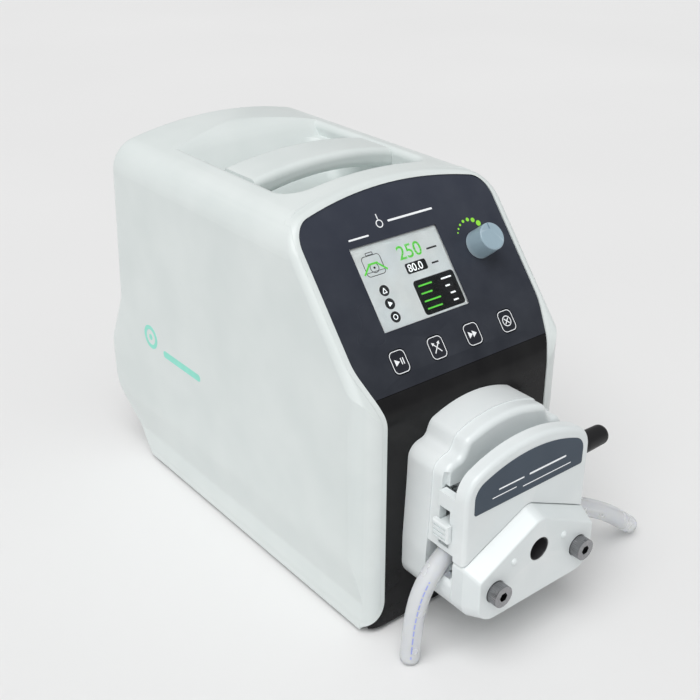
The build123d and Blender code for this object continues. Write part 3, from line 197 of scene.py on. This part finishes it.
def edge_highlight_group():
    """Mask of convex edges, broken up by noise, for a painted highlight along them."""
    group = bpy.data.node_groups.new("painted_edge_highlight", "ShaderNodeTree")
    made = group.interface.new_socket("Amount", in_out="INPUT", socket_type="NodeSocketFloat")
    made.default_value = 1.0
    group.interface.new_socket("Mask", in_out="OUTPUT", socket_type="NodeSocketFloat")
    inside = group.nodes
    entry = inside.new("NodeGroupInput")
    leave = inside.new("NodeGroupOutput")
    shape = inside.new("ShaderNodeNewGeometry")
    band = inside.new("ShaderNodeMapRange")
    band.inputs["From Min"].default_value = 0.51
    band.inputs["From Max"].default_value = 0.60
    place = inside.new("ShaderNodeTexCoord")
    patch = inside.new("ShaderNodeTexNoise")
    patch.inputs["Scale"].default_value = 60.0
    patch.inputs["Detail"].default_value = 4.0
    broken = inside.new("ShaderNodeMath")
    broken.operation = "MULTIPLY"
    scaled = inside.new("ShaderNodeMath")
    scaled.operation = "MULTIPLY"
    link(group, shape.outputs["Pointiness"], band.inputs["Value"])
    link(group, place.outputs["Object"], patch.inputs["Vector"])
    link(group, band.outputs["Result"], broken.inputs[0])
    link(group, patch.outputs["Fac"], broken.inputs[1])
    link(group, broken.outputs["Value"], scaled.inputs[0])
    link(group, entry.outputs["Amount"], scaled.inputs[1])
    link(group, scaled.outputs["Value"], leave.inputs["Mask"])
    return group


def turned_metal_group():
    """Fine tool lines for turned and rolled metal."""
    group = bpy.data.node_groups.new("turned_metal", "ShaderNodeTree")
    made = group.interface.new_socket("Stretch", in_out="INPUT", socket_type="NodeSocketVector")
    made.default_value = (60.0, 2500.0, 60.0)
    for socket in ("Height", "Tone"):
        group.interface.new_socket(socket, in_out="OUTPUT", socket_type="NodeSocketFloat")
    inside = group.nodes
    entry = inside.new("NodeGroupInput")
    leave = inside.new("NodeGroupOutput")
    place = inside.new("ShaderNodeTexCoord")
    scale = inside.new("ShaderNodeVectorMath")
    scale.operation = "MULTIPLY"
    lines = inside.new("ShaderNodeTexNoise")
    lines.inputs["Scale"].default_value = 1.0
    lines.inputs["Detail"].default_value = 4.0
    link(group, place.outputs["Object"], scale.inputs[0])
    link(group, entry.outputs["Stretch"], scale.inputs[1])
    link(group, scale.outputs["Vector"], lines.inputs["Vector"])
    link(group, lines.outputs["Fac"], leave.inputs["Height"])
    link(group, lines.outputs["Fac"], leave.inputs["Tone"])
    return group


MOULDED = moulded_skin_group()
EDGE_HIGHLIGHT = edge_highlight_group()
TURNED = turned_metal_group()


def new_finish(name):
    """Empty material with its shader, ready to wire."""
    made = bpy.data.materials.new(name)
    made.use_nodes = True
    shader = made.node_tree.nodes["Principled BSDF"]
    return made, made.node_tree, shader


def add_group(tree, group):
    node = tree.nodes.new("ShaderNodeGroup")
    node.node_tree = group
    return node


def add_bump(tree, shader, height, strength, distance):
    bump = tree.nodes.new("ShaderNodeBump")
    bump.inputs["Strength"].default_value = strength
    bump.inputs["Distance"].default_value = distance
    link(tree, height, bump.inputs["Height"])
    link(tree, bump.outputs["Normal"], shader.inputs["Normal"])


def tone_ramp(tree, source, low, high):
    """Colour between two shades by a mask."""
    ramp = tree.nodes.new("ShaderNodeValToRGB")
    ramp.color_ramp.elements[0].position = 0.3
    ramp.color_ramp.elements[0].color = (*low, 1.0)
    ramp.color_ramp.elements[1].position = 0.7
    ramp.color_ramp.elements[1].color = (*high, 1.0)
    link(tree, source, ramp.inputs["Fac"])
    return ramp.outputs["Color"]


def paint_edge_highlight(tree, base, highlight_color, amount):
    """Puts a lighter colour over the base along convex edges: a painted edge highlight."""
    mask = add_group(tree, EDGE_HIGHLIGHT)
    mask.inputs["Amount"].default_value = amount
    mix = tree.nodes.new("ShaderNodeMix")
    mix.data_type = "RGBA"
    mix.inputs["B"].default_value = (*highlight_color, 1.0)
    link(tree, mask.outputs["Mask"], mix.inputs["Factor"])
    link(tree, base, mix.inputs["A"])
    return mix.outputs["Result"]


def span(tree, source, low, high):
    """A mask stretched to a range of values."""
    node = tree.nodes.new("ShaderNodeMapRange")
    node.inputs["To Min"].default_value = low
    node.inputs["To Max"].default_value = high
    link(tree, source, node.inputs["Value"])
    return node.outputs["Result"]


def moulded(name, low, high, edge, rough, grain, bump=0.06, depth=0.00004, coat=0.0, shine=0.5):
    """Injection-moulded plastic."""
    made, tree, shader = new_finish(name)
    skin = add_group(tree, MOULDED)
    skin.inputs["Grain Size"].default_value = grain
    base = tone_ramp(tree, skin.outputs["Tone"], low, high)
    # Convex edges get a lighter colour: painted edge highlight.
    link(tree, paint_edge_highlight(tree, base, edge, 0.5), shader.inputs["Base Color"])
    link(tree, span(tree, skin.outputs["Tone"], rough - 0.04, rough + 0.04), shader.inputs["Roughness"])
    add_bump(tree, shader, skin.outputs["Height"], bump, depth)
    shader.inputs["Coat Weight"].default_value = coat
    shader.inputs["Coat Roughness"].default_value = 0.06
    shader.inputs["Specular IOR Level"].default_value = shine
    return made


def metal(name, low, high, rough, stretch, bump=0.08):
    """Turned, ground or rolled metal."""
    made, tree, shader = new_finish(name)
    lines = add_group(tree, TURNED)
    lines.inputs["Stretch"].default_value = stretch
    base = tone_ramp(tree, lines.outputs["Tone"], low, high)
    # Convex edges get a brighter copy of the metal colour: painted edge highlight.
    link(tree, paint_edge_highlight(tree, base, tuple(min(1.0, c * 1.5) for c in high), 0.8),
         shader.inputs["Base Color"])
    link(tree, span(tree, lines.outputs["Tone"], rough - 0.08, rough + 0.08), shader.inputs["Roughness"])
    add_bump(tree, shader, lines.outputs["Height"], bump, 0.00002)
    shader.inputs["Metallic"].default_value = 1.0
    return made


def height_shade(tree, low_z, high_z, low, high):
    """Colour that changes slowly with height."""
    place = tree.nodes.new("ShaderNodeTexCoord")
    parts = tree.nodes.new("ShaderNodeSeparateXYZ")
    ramp = tree.nodes.new("ShaderNodeMapRange")
    ramp.inputs["From Min"].default_value = low_z
    ramp.inputs["From Max"].default_value = high_z
    mix = tree.nodes.new("ShaderNodeMix")
    mix.data_type = "RGBA"
    mix.inputs["A"].default_value = (*low, 1.0)
    mix.inputs["B"].default_value = (*high, 1.0)
    link(tree, place.outputs["Object"], parts.inputs["Vector"])
    link(tree, parts.outputs["Z"], ramp.inputs["Value"])
    link(tree, ramp.outputs["Result"], mix.inputs["Factor"])
    return mix.outputs["Result"]


def keypad_film():
    """Glossy printed film, nearly black at the bottom and slate blue towards the top."""
    made, tree, shader = new_finish("keypad_film")
    skin = add_group(tree, MOULDED)
    skin.inputs["Grain Size"].default_value = 1500.0
    skin.inputs["Wave Size"].default_value = 18.0
    base = height_shade(tree, 0.150, 0.238, (0.009, 0.011, 0.017), (0.034, 0.040, 0.060))
    # Convex edges get a lighter colour: painted edge highlight.
    link(tree, paint_edge_highlight(tree, base, (0.10, 0.11, 0.13), 0.4), shader.inputs["Base Color"])
    link(tree, span(tree, skin.outputs["Tone"], 0.24, 0.34), shader.inputs["Roughness"])
    add_bump(tree, shader, skin.outputs["Height"], 0.03, 0.00002)
    shader.inputs["Specular IOR Level"].default_value = 0.22
    return made


def soft_silicone():
    """Milky clear tube wall."""
    made, tree, shader = new_finish("soft_silicone")
    skin = add_group(tree, MOULDED)
    skin.inputs["Grain Size"].default_value = 500.0
    skin.inputs["Wave Size"].default_value = 80.0
    link(tree, tone_ramp(tree, skin.outputs["Tone"], (0.90, 0.93, 0.97), (0.95, 0.97, 0.99)),
         shader.inputs["Base Color"])
    link(tree, span(tree, skin.outputs["Tone"], 0.20, 0.32), shader.inputs["Roughness"])
    add_bump(tree, shader, skin.outputs["Height"], 0.05, 0.00003)
    shader.inputs["Transmission Weight"].default_value = 0.40
    shader.inputs["IOR"].default_value = 1.25
    shader.inputs["Subsurface Weight"].default_value = 0.35
    shader.inputs["Subsurface Radius"].default_value = (0.004, 0.004, 0.005)
    return made


def screen_window():
    """Clear flat window over the display."""
    made, tree, shader = new_finish("screen_window")
    skin = add_group(tree, MOULDED)
    skin.inputs["Wave Size"].default_value = 40.0
    link(tree, tone_ramp(tree, skin.outputs["Tone"], (0.96, 0.98, 1.0), (1.0, 1.0, 1.0)),
         shader.inputs["Base Color"])
    link(tree, span(tree, skin.outputs["Tone"], 0.02, 0.06), shader.inputs["Roughness"])
    shader.inputs["Transmission Weight"].default_value = 1.0
    shader.inputs["IOR"].default_value = 1.15
    return made


def circuit_board():
    """Green board with fine copper-like lines."""
    made, tree, shader = new_finish("circuit_board")
    place = tree.nodes.new("ShaderNodeTexCoord")
    cells = tree.nodes.new("ShaderNodeTexBrick")
    cells.inputs["Scale"].default_value = 160.0
    cells.inputs["Color1"].default_value = (0.02, 0.14, 0.06, 1.0)
    cells.inputs["Color2"].default_value = (0.03, 0.20, 0.08, 1.0)
    cells.inputs["Mortar"].default_value = (0.25, 0.28, 0.10, 1.0)
    cells.inputs["Mortar Size"].default_value = 0.012
    link(tree, place.outputs["Object"], cells.inputs["Vector"])
    link(tree, cells.outputs["Color"], shader.inputs["Base Color"])
    link(tree, span(tree, cells.outputs["Fac"], 0.35, 0.55), shader.inputs["Roughness"])
    return made


def printed(name, color, glow=0.0):
    """Opaque printed ink, slightly uneven, with emission where glow is set: backlight on the display,
    painted glow on the inks.
    """
    made, tree, shader = new_finish(name)
    skin = add_group(tree, MOULDED)
    skin.inputs["Grain Size"].default_value = 2500.0
    skin.inputs["Wave Size"].default_value = 120.0
    dim = tuple(c * 0.92 for c in color)
    shade = tone_ramp(tree, skin.outputs["Tone"], dim, color)
    link(tree, shade, shader.inputs["Base Color"])
    link(tree, span(tree, skin.outputs["Tone"], 0.35, 0.5), shader.inputs["Roughness"])
    if glow:
        link(tree, shade, shader.inputs["Emission Color"])
        shader.inputs["Emission Strength"].default_value = glow
    return made


# The third colour of each moulded finish is put on convex edges as a painted highlight.
FINISH = {
    "housing_white": moulded("housing_plastic", (0.70, 0.755, 0.745), (0.75, 0.80, 0.79),
                             (0.86, 0.90, 0.89), 0.36, 1400.0, 0.05, coat=0.12),
    "head_white": moulded("head_plastic", (0.75, 0.80, 0.805), (0.79, 0.84, 0.845),
                          (0.93, 0.94, 0.94), 0.30, 1100.0, 0.04, coat=0.2),
    "overlay_black": keypad_film(),
    "front_black": moulded("gloss_black_cover", (0.004, 0.004, 0.005), (0.007, 0.007, 0.008),
                           (0.03, 0.03, 0.03), 0.22, 900.0, 0.03, shine=0.16),
    "dark_plastic": moulded("dark_moulding", (0.030, 0.030, 0.033), (0.045, 0.045, 0.048),
                            (0.12, 0.12, 0.12), 0.50, 700.0, 0.15, 0.00006),
    "display_glass": screen_window(),
    "display_body": moulded("display_surround", (0.50, 0.52, 0.52), (0.58, 0.60, 0.60),
                            (0.7, 0.7, 0.7), 0.45, 900.0),
    "board_green": circuit_board(),
    "key_face": moulded("key_plastic", (0.012, 0.014, 0.020), (0.020, 0.022, 0.030),
                        (0.08, 0.09, 0.10), 0.25, 1200.0, 0.03, shine=0.25),
    "knob_blue": moulded("knob_plastic", (0.30, 0.41, 0.48), (0.36, 0.48, 0.55),
                         (0.66, 0.75, 0.80), 0.28, 900.0, 0.04, coat=0.2),
    "steel": metal("turned_steel", (0.42, 0.42, 0.43), (0.58, 0.58, 0.60), 0.28,
                   (60.0, 2500.0, 60.0)),
    "screw_steel": metal("knurled_steel", (0.13, 0.13, 0.135), (0.30, 0.30, 0.31), 0.24,
                         (900.0, 300.0, 900.0), 0.2),
    "zinc_sheet": metal("plated_sheet", (0.42, 0.43, 0.44), (0.54, 0.55, 0.56), 0.40,
                        (400.0, 400.0, 40.0)),
    "motor_black": moulded("motor_enamel", (0.02, 0.02, 0.022), (0.035, 0.035, 0.038),
                           (0.2, 0.2, 0.2), 0.4, 500.0, 0.1),
    "label_slate": moulded("label_film", (0.044, 0.064, 0.090), (0.058, 0.080, 0.110),
                           (0.09, 0.11, 0.14), 0.40, 1800.0, 0.03, shine=0.2),
    "lever_black": moulded("lever_plastic", (0.008, 0.008, 0.009), (0.014, 0.014, 0.015),
                           (0.04, 0.04, 0.04), 0.42, 900.0, 0.12, 0.00005, shine=0.3),
    "foot_rubber": moulded("foot_rubber_skin", (0.012, 0.012, 0.012), (0.022, 0.022, 0.022),
                           (0.05, 0.05, 0.05), 0.75, 600.0, 0.25, 0.00008),
    "roller_nylon": moulded("roller_nylon_skin", (0.66, 0.66, 0.60), (0.76, 0.76, 0.70),
                            (0.85, 0.85, 0.8), 0.4, 800.0, 0.06),
    "tube_clear": soft_silicone(),
}
# Emission on the white and green inks is painted glow: printed ink gives no light.
INK_WHITE_PAINTED_GLOW = printed("white_ink_painted_glow", (0.86, 0.88, 0.90), 0.15)
INK_GREEN_PAINTED_GLOW = printed("green_ink_painted_glow", (0.24, 0.62, 0.04), 0.35)
INK_MINT = printed("mint_ink", (0.30, 0.82, 0.68))
SCREEN_PAPER = printed("screen_paper", (0.66, 0.70, 0.69), 0.22)
SCREEN_DARK = printed("screen_dark", (0.012, 0.014, 0.016))
SCREEN_GREEN = printed("screen_green", (0.10, 0.55, 0.05), 0.55)
SCREEN_WHITE = printed("screen_white", (0.85, 0.88, 0.88), 0.7)
TUBE_INK = printed("tube_ink", (0.30, 0.36, 0.75))

for entry in frame["record"]["subparts"]:
    part = nodes[entry["node"]]
    finish = FINISH[entry["material_slot"]]
    part.data.materials.clear()
    part.data.materials.append(finish)
for tail, line in tubes:
    tail.data.materials.append(FINISH["tube_clear"])

# ---------------------------------------------------------------- slanted panel prints
PANEL_TILT = math.radians(38.78)
PANEL_TOP = Vector((0.0, -0.0554, 0.2138))
DOWN_SLOPE = Vector((0.0, -math.sin(PANEL_TILT), -math.cos(PANEL_TILT)))
OUT_OF_PANEL = Vector((0.0, -math.cos(PANEL_TILT), math.sin(PANEL_TILT)))
SCREEN_LEFT, SCREEN_RIGHT, SCREEN_TALL = -0.0418, 0.0206, 0.0489
FILM = 0.00004


def on_panel(x, s, height):
    """Point on the slanted panel: x across, s down the slope from the display's top edge."""
    return PANEL_TOP + Vector((x, 0, 0)) + DOWN_SLOPE * s + OUT_OF_PANEL * height


def on_head(x, z, depth):
    """Point in the pump head's front view at a depth towards the user."""
    return Vector((x, -depth, z))


def flat_piece(name, loops, surface, height, ink, body):
    """Thin printed shape: each loop is a closed outline, or a pair of outlines with a gap between."""
    vertices, faces = [], []
    for loop in loops:
        outline, hole = loop if isinstance(loop, tuple) else (loop, None)
        count = len(outline)
        layers = []
        for level in (height, height + FILM):
            layers.append(len(vertices))
            vertices += [surface(a, b, level) for a, b in outline]
            if hole:
                vertices += [surface(a, b, level) for a, b in hole]
        low, high = layers
        if hole:
            for index in range(count):
                following = (index + 1) % count
                faces.append((high + index, high + following, high + count + following,
                              high + count + index))
                faces.append((low + count + index, low + count + following, low + following,
                              low + index))
                faces.append((low + count + following, low + count + index, high + count + index,
                              high + count + following))
        else:
            faces.append(tuple(range(high, high + count)))
            faces.append(tuple(range(low + count - 1, low - 1, -1)))
        for index in range(count):
            following = (index + 1) % count
            faces.append((low + index, low + following, high + following, high + index))
    made = mesh_object(name, vertices, faces)
    bpy.context.view_layer.update()
    made.data.materials.append(ink)
    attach(made, body)


def disc(a, b, radius, count=28):
    """Round outline."""
    return [(a + radius * math.cos(2 * math.pi * step / count),
             b + radius * math.sin(2 * math.pi * step / count)) for step in range(count)]


def rounded(a, b, width, height, corner):
    """Rounded rectangle outline about a centre."""
    steps = 6
    outline = []
    for turn, (side_a, side_b) in enumerate(((1, 1), (-1, 1), (-1, -1), (1, -1))):
        middle_a = a + side_a * (width / 2 - corner)
        middle_b = b + side_b * (height / 2 - corner)
        for step in range(steps + 1):
            angle = math.pi / 2 * (turn + step / steps)
            outline.append((middle_a + corner * math.cos(angle), middle_b + corner * math.sin(angle)))
    return outline


def frame_loop(a, b, width, height, corner, line):
    """Outline drawn as a line of even width."""
    inner = rounded(a, b, width - 2 * line, height - 2 * line, max(corner - line, 0.0001))
    return rounded(a, b, width, height, corner), inner


def stroke(points, width):
    """Outline of a thin straight stroke between two points."""
    (a0, b0), (a1, b1) = points
    length = math.hypot(a1 - a0, b1 - b0)
    na, nb = -(b1 - b0) / length * width / 2, (a1 - a0) / length * width / 2
    return [(a0 + na, b0 + nb), (a0 - na, b0 - nb), (a1 - na, b1 - nb), (a1 + na, b1 + nb)]


def ring_loop(a, b, radius, line):
    """Circle drawn as a line."""
    return disc(a, b, radius, 36), disc(a, b, radius - line, 36)


def digits(name, text, a, b, tall, surface, height, ink, body):
    """Number set flat on the slanted panel, its left edge at a and its baseline at b."""
    curve = bpy.data.curves.new(name + "_type", "FONT")
    curve.body = text
    curve.size = tall * 1.38
    curve.offset = tall * 0.012
    holder = bpy.data.objects.new(name + "_type", curve)
    bpy.context.scene.collection.objects.link(holder)
    depsgraph = bpy.context.evaluated_depsgraph_get()
    mesh = bpy.data.meshes.new_from_object(holder.evaluated_get(depsgraph))
    bpy.data.objects.remove(holder)
    for vertex in mesh.vertices:
        vertex.co = surface(a + vertex.co.x, b - vertex.co.y, height)
    mesh.materials.clear()
    mesh.materials.append(ink)
    made = bpy.data.objects.new(name, mesh)
    bpy.context.scene.collection.objects.link(made)
    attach(made, body)


def mm(*pairs):
    """Millimetre pairs as metres."""
    return [(a / 1000, b / 1000) for a, b in pairs]


# Screen graphics lie on the display under its window.
SCREEN = -0.00156
flat_piece("screen_face", [rounded((SCREEN_LEFT + SCREEN_RIGHT) / 2, SCREEN_TALL / 2,
                                   SCREEN_RIGHT - SCREEN_LEFT - 0.0006, SCREEN_TALL - 0.0006, 0.0004)],
           on_panel, SCREEN - 0.00003, SCREEN_PAPER, "drive")
flat_piece("screen_dark_boxes",
           [rounded(0.0048, 0.0373, 0.0300, 0.0205, 0.0022),
            rounded(-0.0030, 0.0195, 0.0150, 0.0062, 0.0012)],
           on_panel, SCREEN + 0.00002, SCREEN_DARK, "drive")
flat_piece("screen_menu_lines",
           [stroke(mm((-7.5, 30.6), (2.5, 30.6)), 0.0009), stroke(mm((-7.5, 35.2), (0.5, 35.2)), 0.0009),
            stroke(mm((-7.5, 39.8), (4.5, 39.8)), 0.0009), stroke(mm((-7.5, 44.2), (3.5, 44.2)), 0.0009)],
           on_panel, SCREEN + 0.00008, SCREEN_GREEN, "drive")
flat_piece("screen_menu_values",
           [stroke(mm((9.5, 30.6), (17.0, 30.6)), 0.0009), stroke(mm((10.5, 35.2), (13.8, 35.2)), 0.0009),
            stroke(mm((12.0, 39.8), (15.6, 39.8)), 0.0009), stroke(mm((12.0, 44.2), (15.6, 44.2)), 0.0009)],
           on_panel, SCREEN + 0.00008, SCREEN_WHITE, "drive")
digits("screen_flow_reading", "250", -0.0120, 0.0137, 0.0084, on_panel, SCREEN + 0.00006, SCREEN_GREEN,
       "drive")
digits("screen_speed_reading", "80.0", -0.0093, 0.0216, 0.0046, on_panel, SCREEN + 0.00008, SCREEN_WHITE,
       "drive")
flat_piece("screen_unit_bars",
           [stroke(mm((8.5, 11.8), (16.0, 11.8)), 0.0010), stroke(mm((8.0, 20.4), (13.0, 20.4)), 0.0010)],
           on_panel, SCREEN + 0.00004, SCREEN_DARK, "drive")
BUTTON_ROWS = (0.0268, 0.0346, 0.0424)
flat_piece("screen_side_buttons", [disc(-0.0300, row, 0.0032) for row in BUTTON_ROWS],
           on_panel, SCREEN + 0.00004, SCREEN_DARK, "drive")
flat_piece("screen_side_marks",
           [stroke(mm((-31.4, 28.2), (-30.0, 25.4)), 0.0005),
            stroke(mm((-28.6, 28.2), (-30.0, 25.4)), 0.0005),
            stroke(mm((-31.4, 28.2), (-28.6, 28.2)), 0.0005),
            mm((-30.9, 33.0), (-30.9, 36.2), (-28.2, 34.6)),
            ring_loop(-0.0300, BUTTON_ROWS[2], 0.0016, 0.0005)],
           on_panel, SCREEN + 0.00008, SCREEN_WHITE, "drive")
HEAD_A, HEAD_B = -0.0300, 0.0118
flat_piece("screen_head_drawing",
           [frame_loop(HEAD_A, HEAD_B, 0.0130, 0.0120, 0.0022, 0.0004),
            frame_loop(HEAD_A, HEAD_B - 0.0068, 0.0050, 0.0018, 0.0005, 0.0004),
            ring_loop(HEAD_A, HEAD_B + 0.0014, 0.0030, 0.0004),
            disc(HEAD_A, HEAD_B + 0.0014, 0.0007),
            stroke([(HEAD_A - 0.0065, HEAD_B + 0.0035), (HEAD_A + 0.0065, HEAD_B + 0.0035)], 0.0003)],
           on_panel, SCREEN + 0.00004, SCREEN_DARK, "drive")
flat_piece("screen_tube_drawing",
           [stroke([(HEAD_A - 0.0080, HEAD_B + 0.0042), (HEAD_A - 0.0030, HEAD_B - 0.0006)], 0.0011),
            stroke([(HEAD_A - 0.0034, HEAD_B - 0.0010), (HEAD_A + 0.0034, HEAD_B - 0.0010)], 0.0011),
            stroke([(HEAD_A + 0.0030, HEAD_B - 0.0006), (HEAD_A + 0.0080, HEAD_B + 0.0042)], 0.0011)],
           on_panel, SCREEN + 0.00008, SCREEN_GREEN, "drive")

# ---------------------------------------------------------------- keys, knob dots, overlay marks
KEY_ROW = 0.0659
KEYS = {"start_stop": -0.0403, "direction": -0.0133, "prime": 0.0137, "escape": 0.0407}
KEY_TOP = -0.00004


def key_icon(kind, a, b):
    """Loops of a key's white symbol."""
    if kind == "start_stop":
        return [[(a - 0.0030, b - 0.0019), (a - 0.0030, b + 0.0019), (a + 0.0002, b)],
                stroke([(a + 0.0013, b - 0.0018), (a + 0.0013, b + 0.0018)], 0.0006),
                stroke([(a + 0.0027, b - 0.0018), (a + 0.0027, b + 0.0018)], 0.0006)]
    if kind == "direction":
        return [stroke([(a - 0.0024, b + 0.0028), (a + 0.0018, b - 0.0022)], 0.0006),
                stroke([(a + 0.0024, b + 0.0028), (a - 0.0018, b - 0.0022)], 0.0006),
                [(a + 0.0028, b - 0.0034), (a + 0.0008, b - 0.0026), (a + 0.0024, b - 0.0013)],
                [(a - 0.0028, b - 0.0034), (a - 0.0024, b - 0.0013), (a - 0.0008, b - 0.0026)]]
    if kind == "prime":
        return [[(a - 0.0030, b - 0.0020), (a - 0.0030, b + 0.0020), (a, b)],
                [(a, b - 0.0020), (a, b + 0.0020), (a + 0.0030, b)]]
    return [stroke([(a - 0.0016, b - 0.0016), (a + 0.0016, b + 0.0016)], 0.0006),
            stroke([(a + 0.0016, b - 0.0016), (a - 0.0016, b + 0.0016)], 0.0006),
            ring_loop(a, b, 0.0032, 0.0005)]


for key_name, key_x in KEYS.items():
    flat_piece(f"{key_name}_key_outline", [frame_loop(key_x, KEY_ROW, 0.0106, 0.0127, 0.0030, 0.00042)],
               on_panel, KEY_TOP, INK_WHITE_PAINTED_GLOW, f"{key_name}_button")
    flat_piece(f"{key_name}_key_symbol", key_icon(key_name, key_x, KEY_ROW), on_panel, KEY_TOP,
               INK_WHITE_PAINTED_GLOW, f"{key_name}_button")

DOTS = mm((33.5, 8.7), (35.1, 6.6), (37.4, 4.6), (40.5, 3.1), (44.2, 2.8), (47.8, 3.9), (50.9, 6.6))
DOT_SIZES = (0.00050, 0.00060, 0.00075, 0.00095, 0.00115, 0.00140, 0.00170)
flat_piece("speed_dots", [disc(a, b, size) for (a, b), size in zip(DOTS, DOT_SIZES)],
           on_panel, 0.00001, INK_GREEN_PAINTED_GLOW, "drive")
flat_piece("drop_mark",
           [ring_loop(-0.0160, -0.0092, 0.0024, 0.0006),
            stroke([(-0.0160, -0.0150), (-0.0160, -0.0118)], 0.0006)],
           on_panel, 0.00001, INK_WHITE_PAINTED_GLOW, "drive")
flat_piece("overlay_line_mark", [rounded(0.0065, -0.0095, 0.0330, 0.0012, 0.0005)],
           on_panel, 0.00001, INK_WHITE_PAINTED_GLOW, "drive")
flat_piece("screen_corner_mark", [rounded(-0.0330, -0.0045, 0.0140, 0.0010, 0.0004)],
           on_panel, 0.00001, INK_WHITE_PAINTED_GLOW, "drive")

# ---------------------------------------------------------------- pump head label and side mark
LABEL_FACE = 0.15965
flat_piece("label_lines",
           [rounded(0.0130, 0.1080, 0.0290, 0.0012, 0.0005),
            rounded(-0.0150, 0.1078, 0.0190, 0.0009, 0.0004),
            rounded(-0.0200, 0.1038, 0.0180, 0.0006, 0.0002),
            rounded(0.0130, 0.1020, 0.0380, 0.0006, 0.0002)],
           on_head, LABEL_FACE, INK_WHITE_PAINTED_GLOW, "block")


def on_left_wall(y, z, out):
    """Point on the housing's left side."""
    return Vector((-0.0765 - out, y, z))


# A plain ring with a dot, and a bar beside it.
flat_piece("side_swirl", [ring_loop(0.1150, 0.1060, 0.0085, 0.0030),
                          disc(0.1150, 0.1060, 0.0022)],
           on_left_wall, 0.00001, INK_MINT, "drive")
flat_piece("side_line_mark", [rounded(0.0760, 0.1000, 0.0460, 0.0050, 0.0022)],
           on_left_wall, 0.00001, INK_MINT, "drive")


# ---------------------------------------------------------------- head bore
BORE_X, BORE_Z, BORE_NEAR, BORE_FAR = 0.0, 0.0639, 0.1583, 0.1697
SHADE_LINING_RADIUS, SHADE_LINING_WALL = 0.00712, 0.0007


def painted_shade_bore_sleeve():
    """Dark sleeve with a softened lip inside the head's front bore: painted shade, a dark lining where the
    bore is in shade.
    """
    profile = [(SHADE_LINING_RADIUS, BORE_NEAR), (SHADE_LINING_RADIUS, BORE_FAR - 0.0003),
               (SHADE_LINING_RADIUS - 0.0002, BORE_FAR), (SHADE_LINING_RADIUS - SHADE_LINING_WALL + 0.0002, BORE_FAR),
               (SHADE_LINING_RADIUS - SHADE_LINING_WALL, BORE_FAR - 0.0004), (SHADE_LINING_RADIUS - SHADE_LINING_WALL, BORE_NEAR)]
    sides = 48
    vertices = [on_head(BORE_X + radius * math.cos(2 * math.pi * side / sides),
                        BORE_Z + radius * math.sin(2 * math.pi * side / sides), depth)
                for side in range(sides) for radius, depth in profile]
    rows = len(profile)
    faces = [(side * rows + row, side * rows + (row + 1) % rows,
              (side + 1) % sides * rows + (row + 1) % rows, (side + 1) % sides * rows + row)
             for side in range(sides) for row in range(rows)]
    made = mesh_object("painted_shade_bore_sleeve", vertices, faces)
    # The dark plastic here is painted shade inside the bore.
    made.data.materials.append(FINISH["dark_plastic"])
    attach(made, "drive")


painted_shade_bore_sleeve()


# ---------------------------------------------------------------- tube print line
def print_stripe(name, line, first, last):
    """Broken printed line along the outside of a tube."""
    vertices, faces = [], []
    lean = math.radians(52)
    half_line = 0.07
    dash = 4
    for index in range(first, last):
        if index % dash == dash - 1:
            continue
        quad = []
        for end in (index, index + 1):
            heading = (line[end] - line[end - 1]).normalized()
            outward = heading.cross(Vector((0, 1, 0))).normalized()
            if outward.x > 0:
                outward = -outward
            for turn in (lean - half_line, lean + half_line):
                direction = math.cos(turn) * outward - math.sin(turn) * Vector((0, 1, 0))
                quad.append(line[end] + direction * (TUBE_RADIUS + 0.00004))
        base = len(vertices)
        vertices += quad
        faces.append((base, base + 1, base + 3, base + 2))
    made = mesh_object(name, vertices, faces)
    made.data.materials.append(TUBE_INK)
    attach(made, "drive")


print_stripe("tube_print_left", tubes[0][1], 14, len(tubes[0][1]) - 3)

# ---------------------------------------------------------------- studio


def studio():
    """Pale floor and soft lights."""
    scene = bpy.context.scene
    scene.view_settings.view_transform = "Standard"
    reach = 60.0
    corners = [(-reach, -reach, 0), (reach, -reach, 0), (reach, reach, 0), (-reach, reach, 0)]
    floor = mesh_object("studio_floor", corners, [(0, 1, 2, 3)])
    made, tree, shader = new_finish("floor_paper")
    skin = add_group(tree, MOULDED)
    skin.inputs["Wave Size"].default_value = 2.0
    link(tree, tone_ramp(tree, skin.outputs["Tone"], (0.80, 0.80, 0.80), (0.82, 0.82, 0.82)),
         shader.inputs["Base Color"])
    shader.inputs["Roughness"].default_value = 0.9
    floor.data.materials.append(made)
    world = bpy.data.worlds.new("studio_air")
    world.use_nodes = True
    world.node_tree.nodes["Background"].inputs["Color"].default_value = (1.0, 1.0, 1.0, 1.0)
    world.node_tree.nodes["Background"].inputs["Strength"].default_value = 0.42
    scene.world = world
    for name, aim, strength, spread in (("main_softlight", (-0.40, -0.20, 0.89), 2.0, 50.0),
                                        ("low_fill", (-0.5, -0.8, 0.3), 0.15, 60.0)):
        lamp = bpy.data.lights.new(name, "SUN")
        lamp.energy = strength
        lamp.angle = math.radians(spread)
        holder = bpy.data.objects.new(name, lamp)
        scene.collection.objects.link(holder)
        holder.location = Vector(aim)
        holder.rotation_euler = Vector(aim).to_track_quat("Z", "Y").to_euler()


studio()
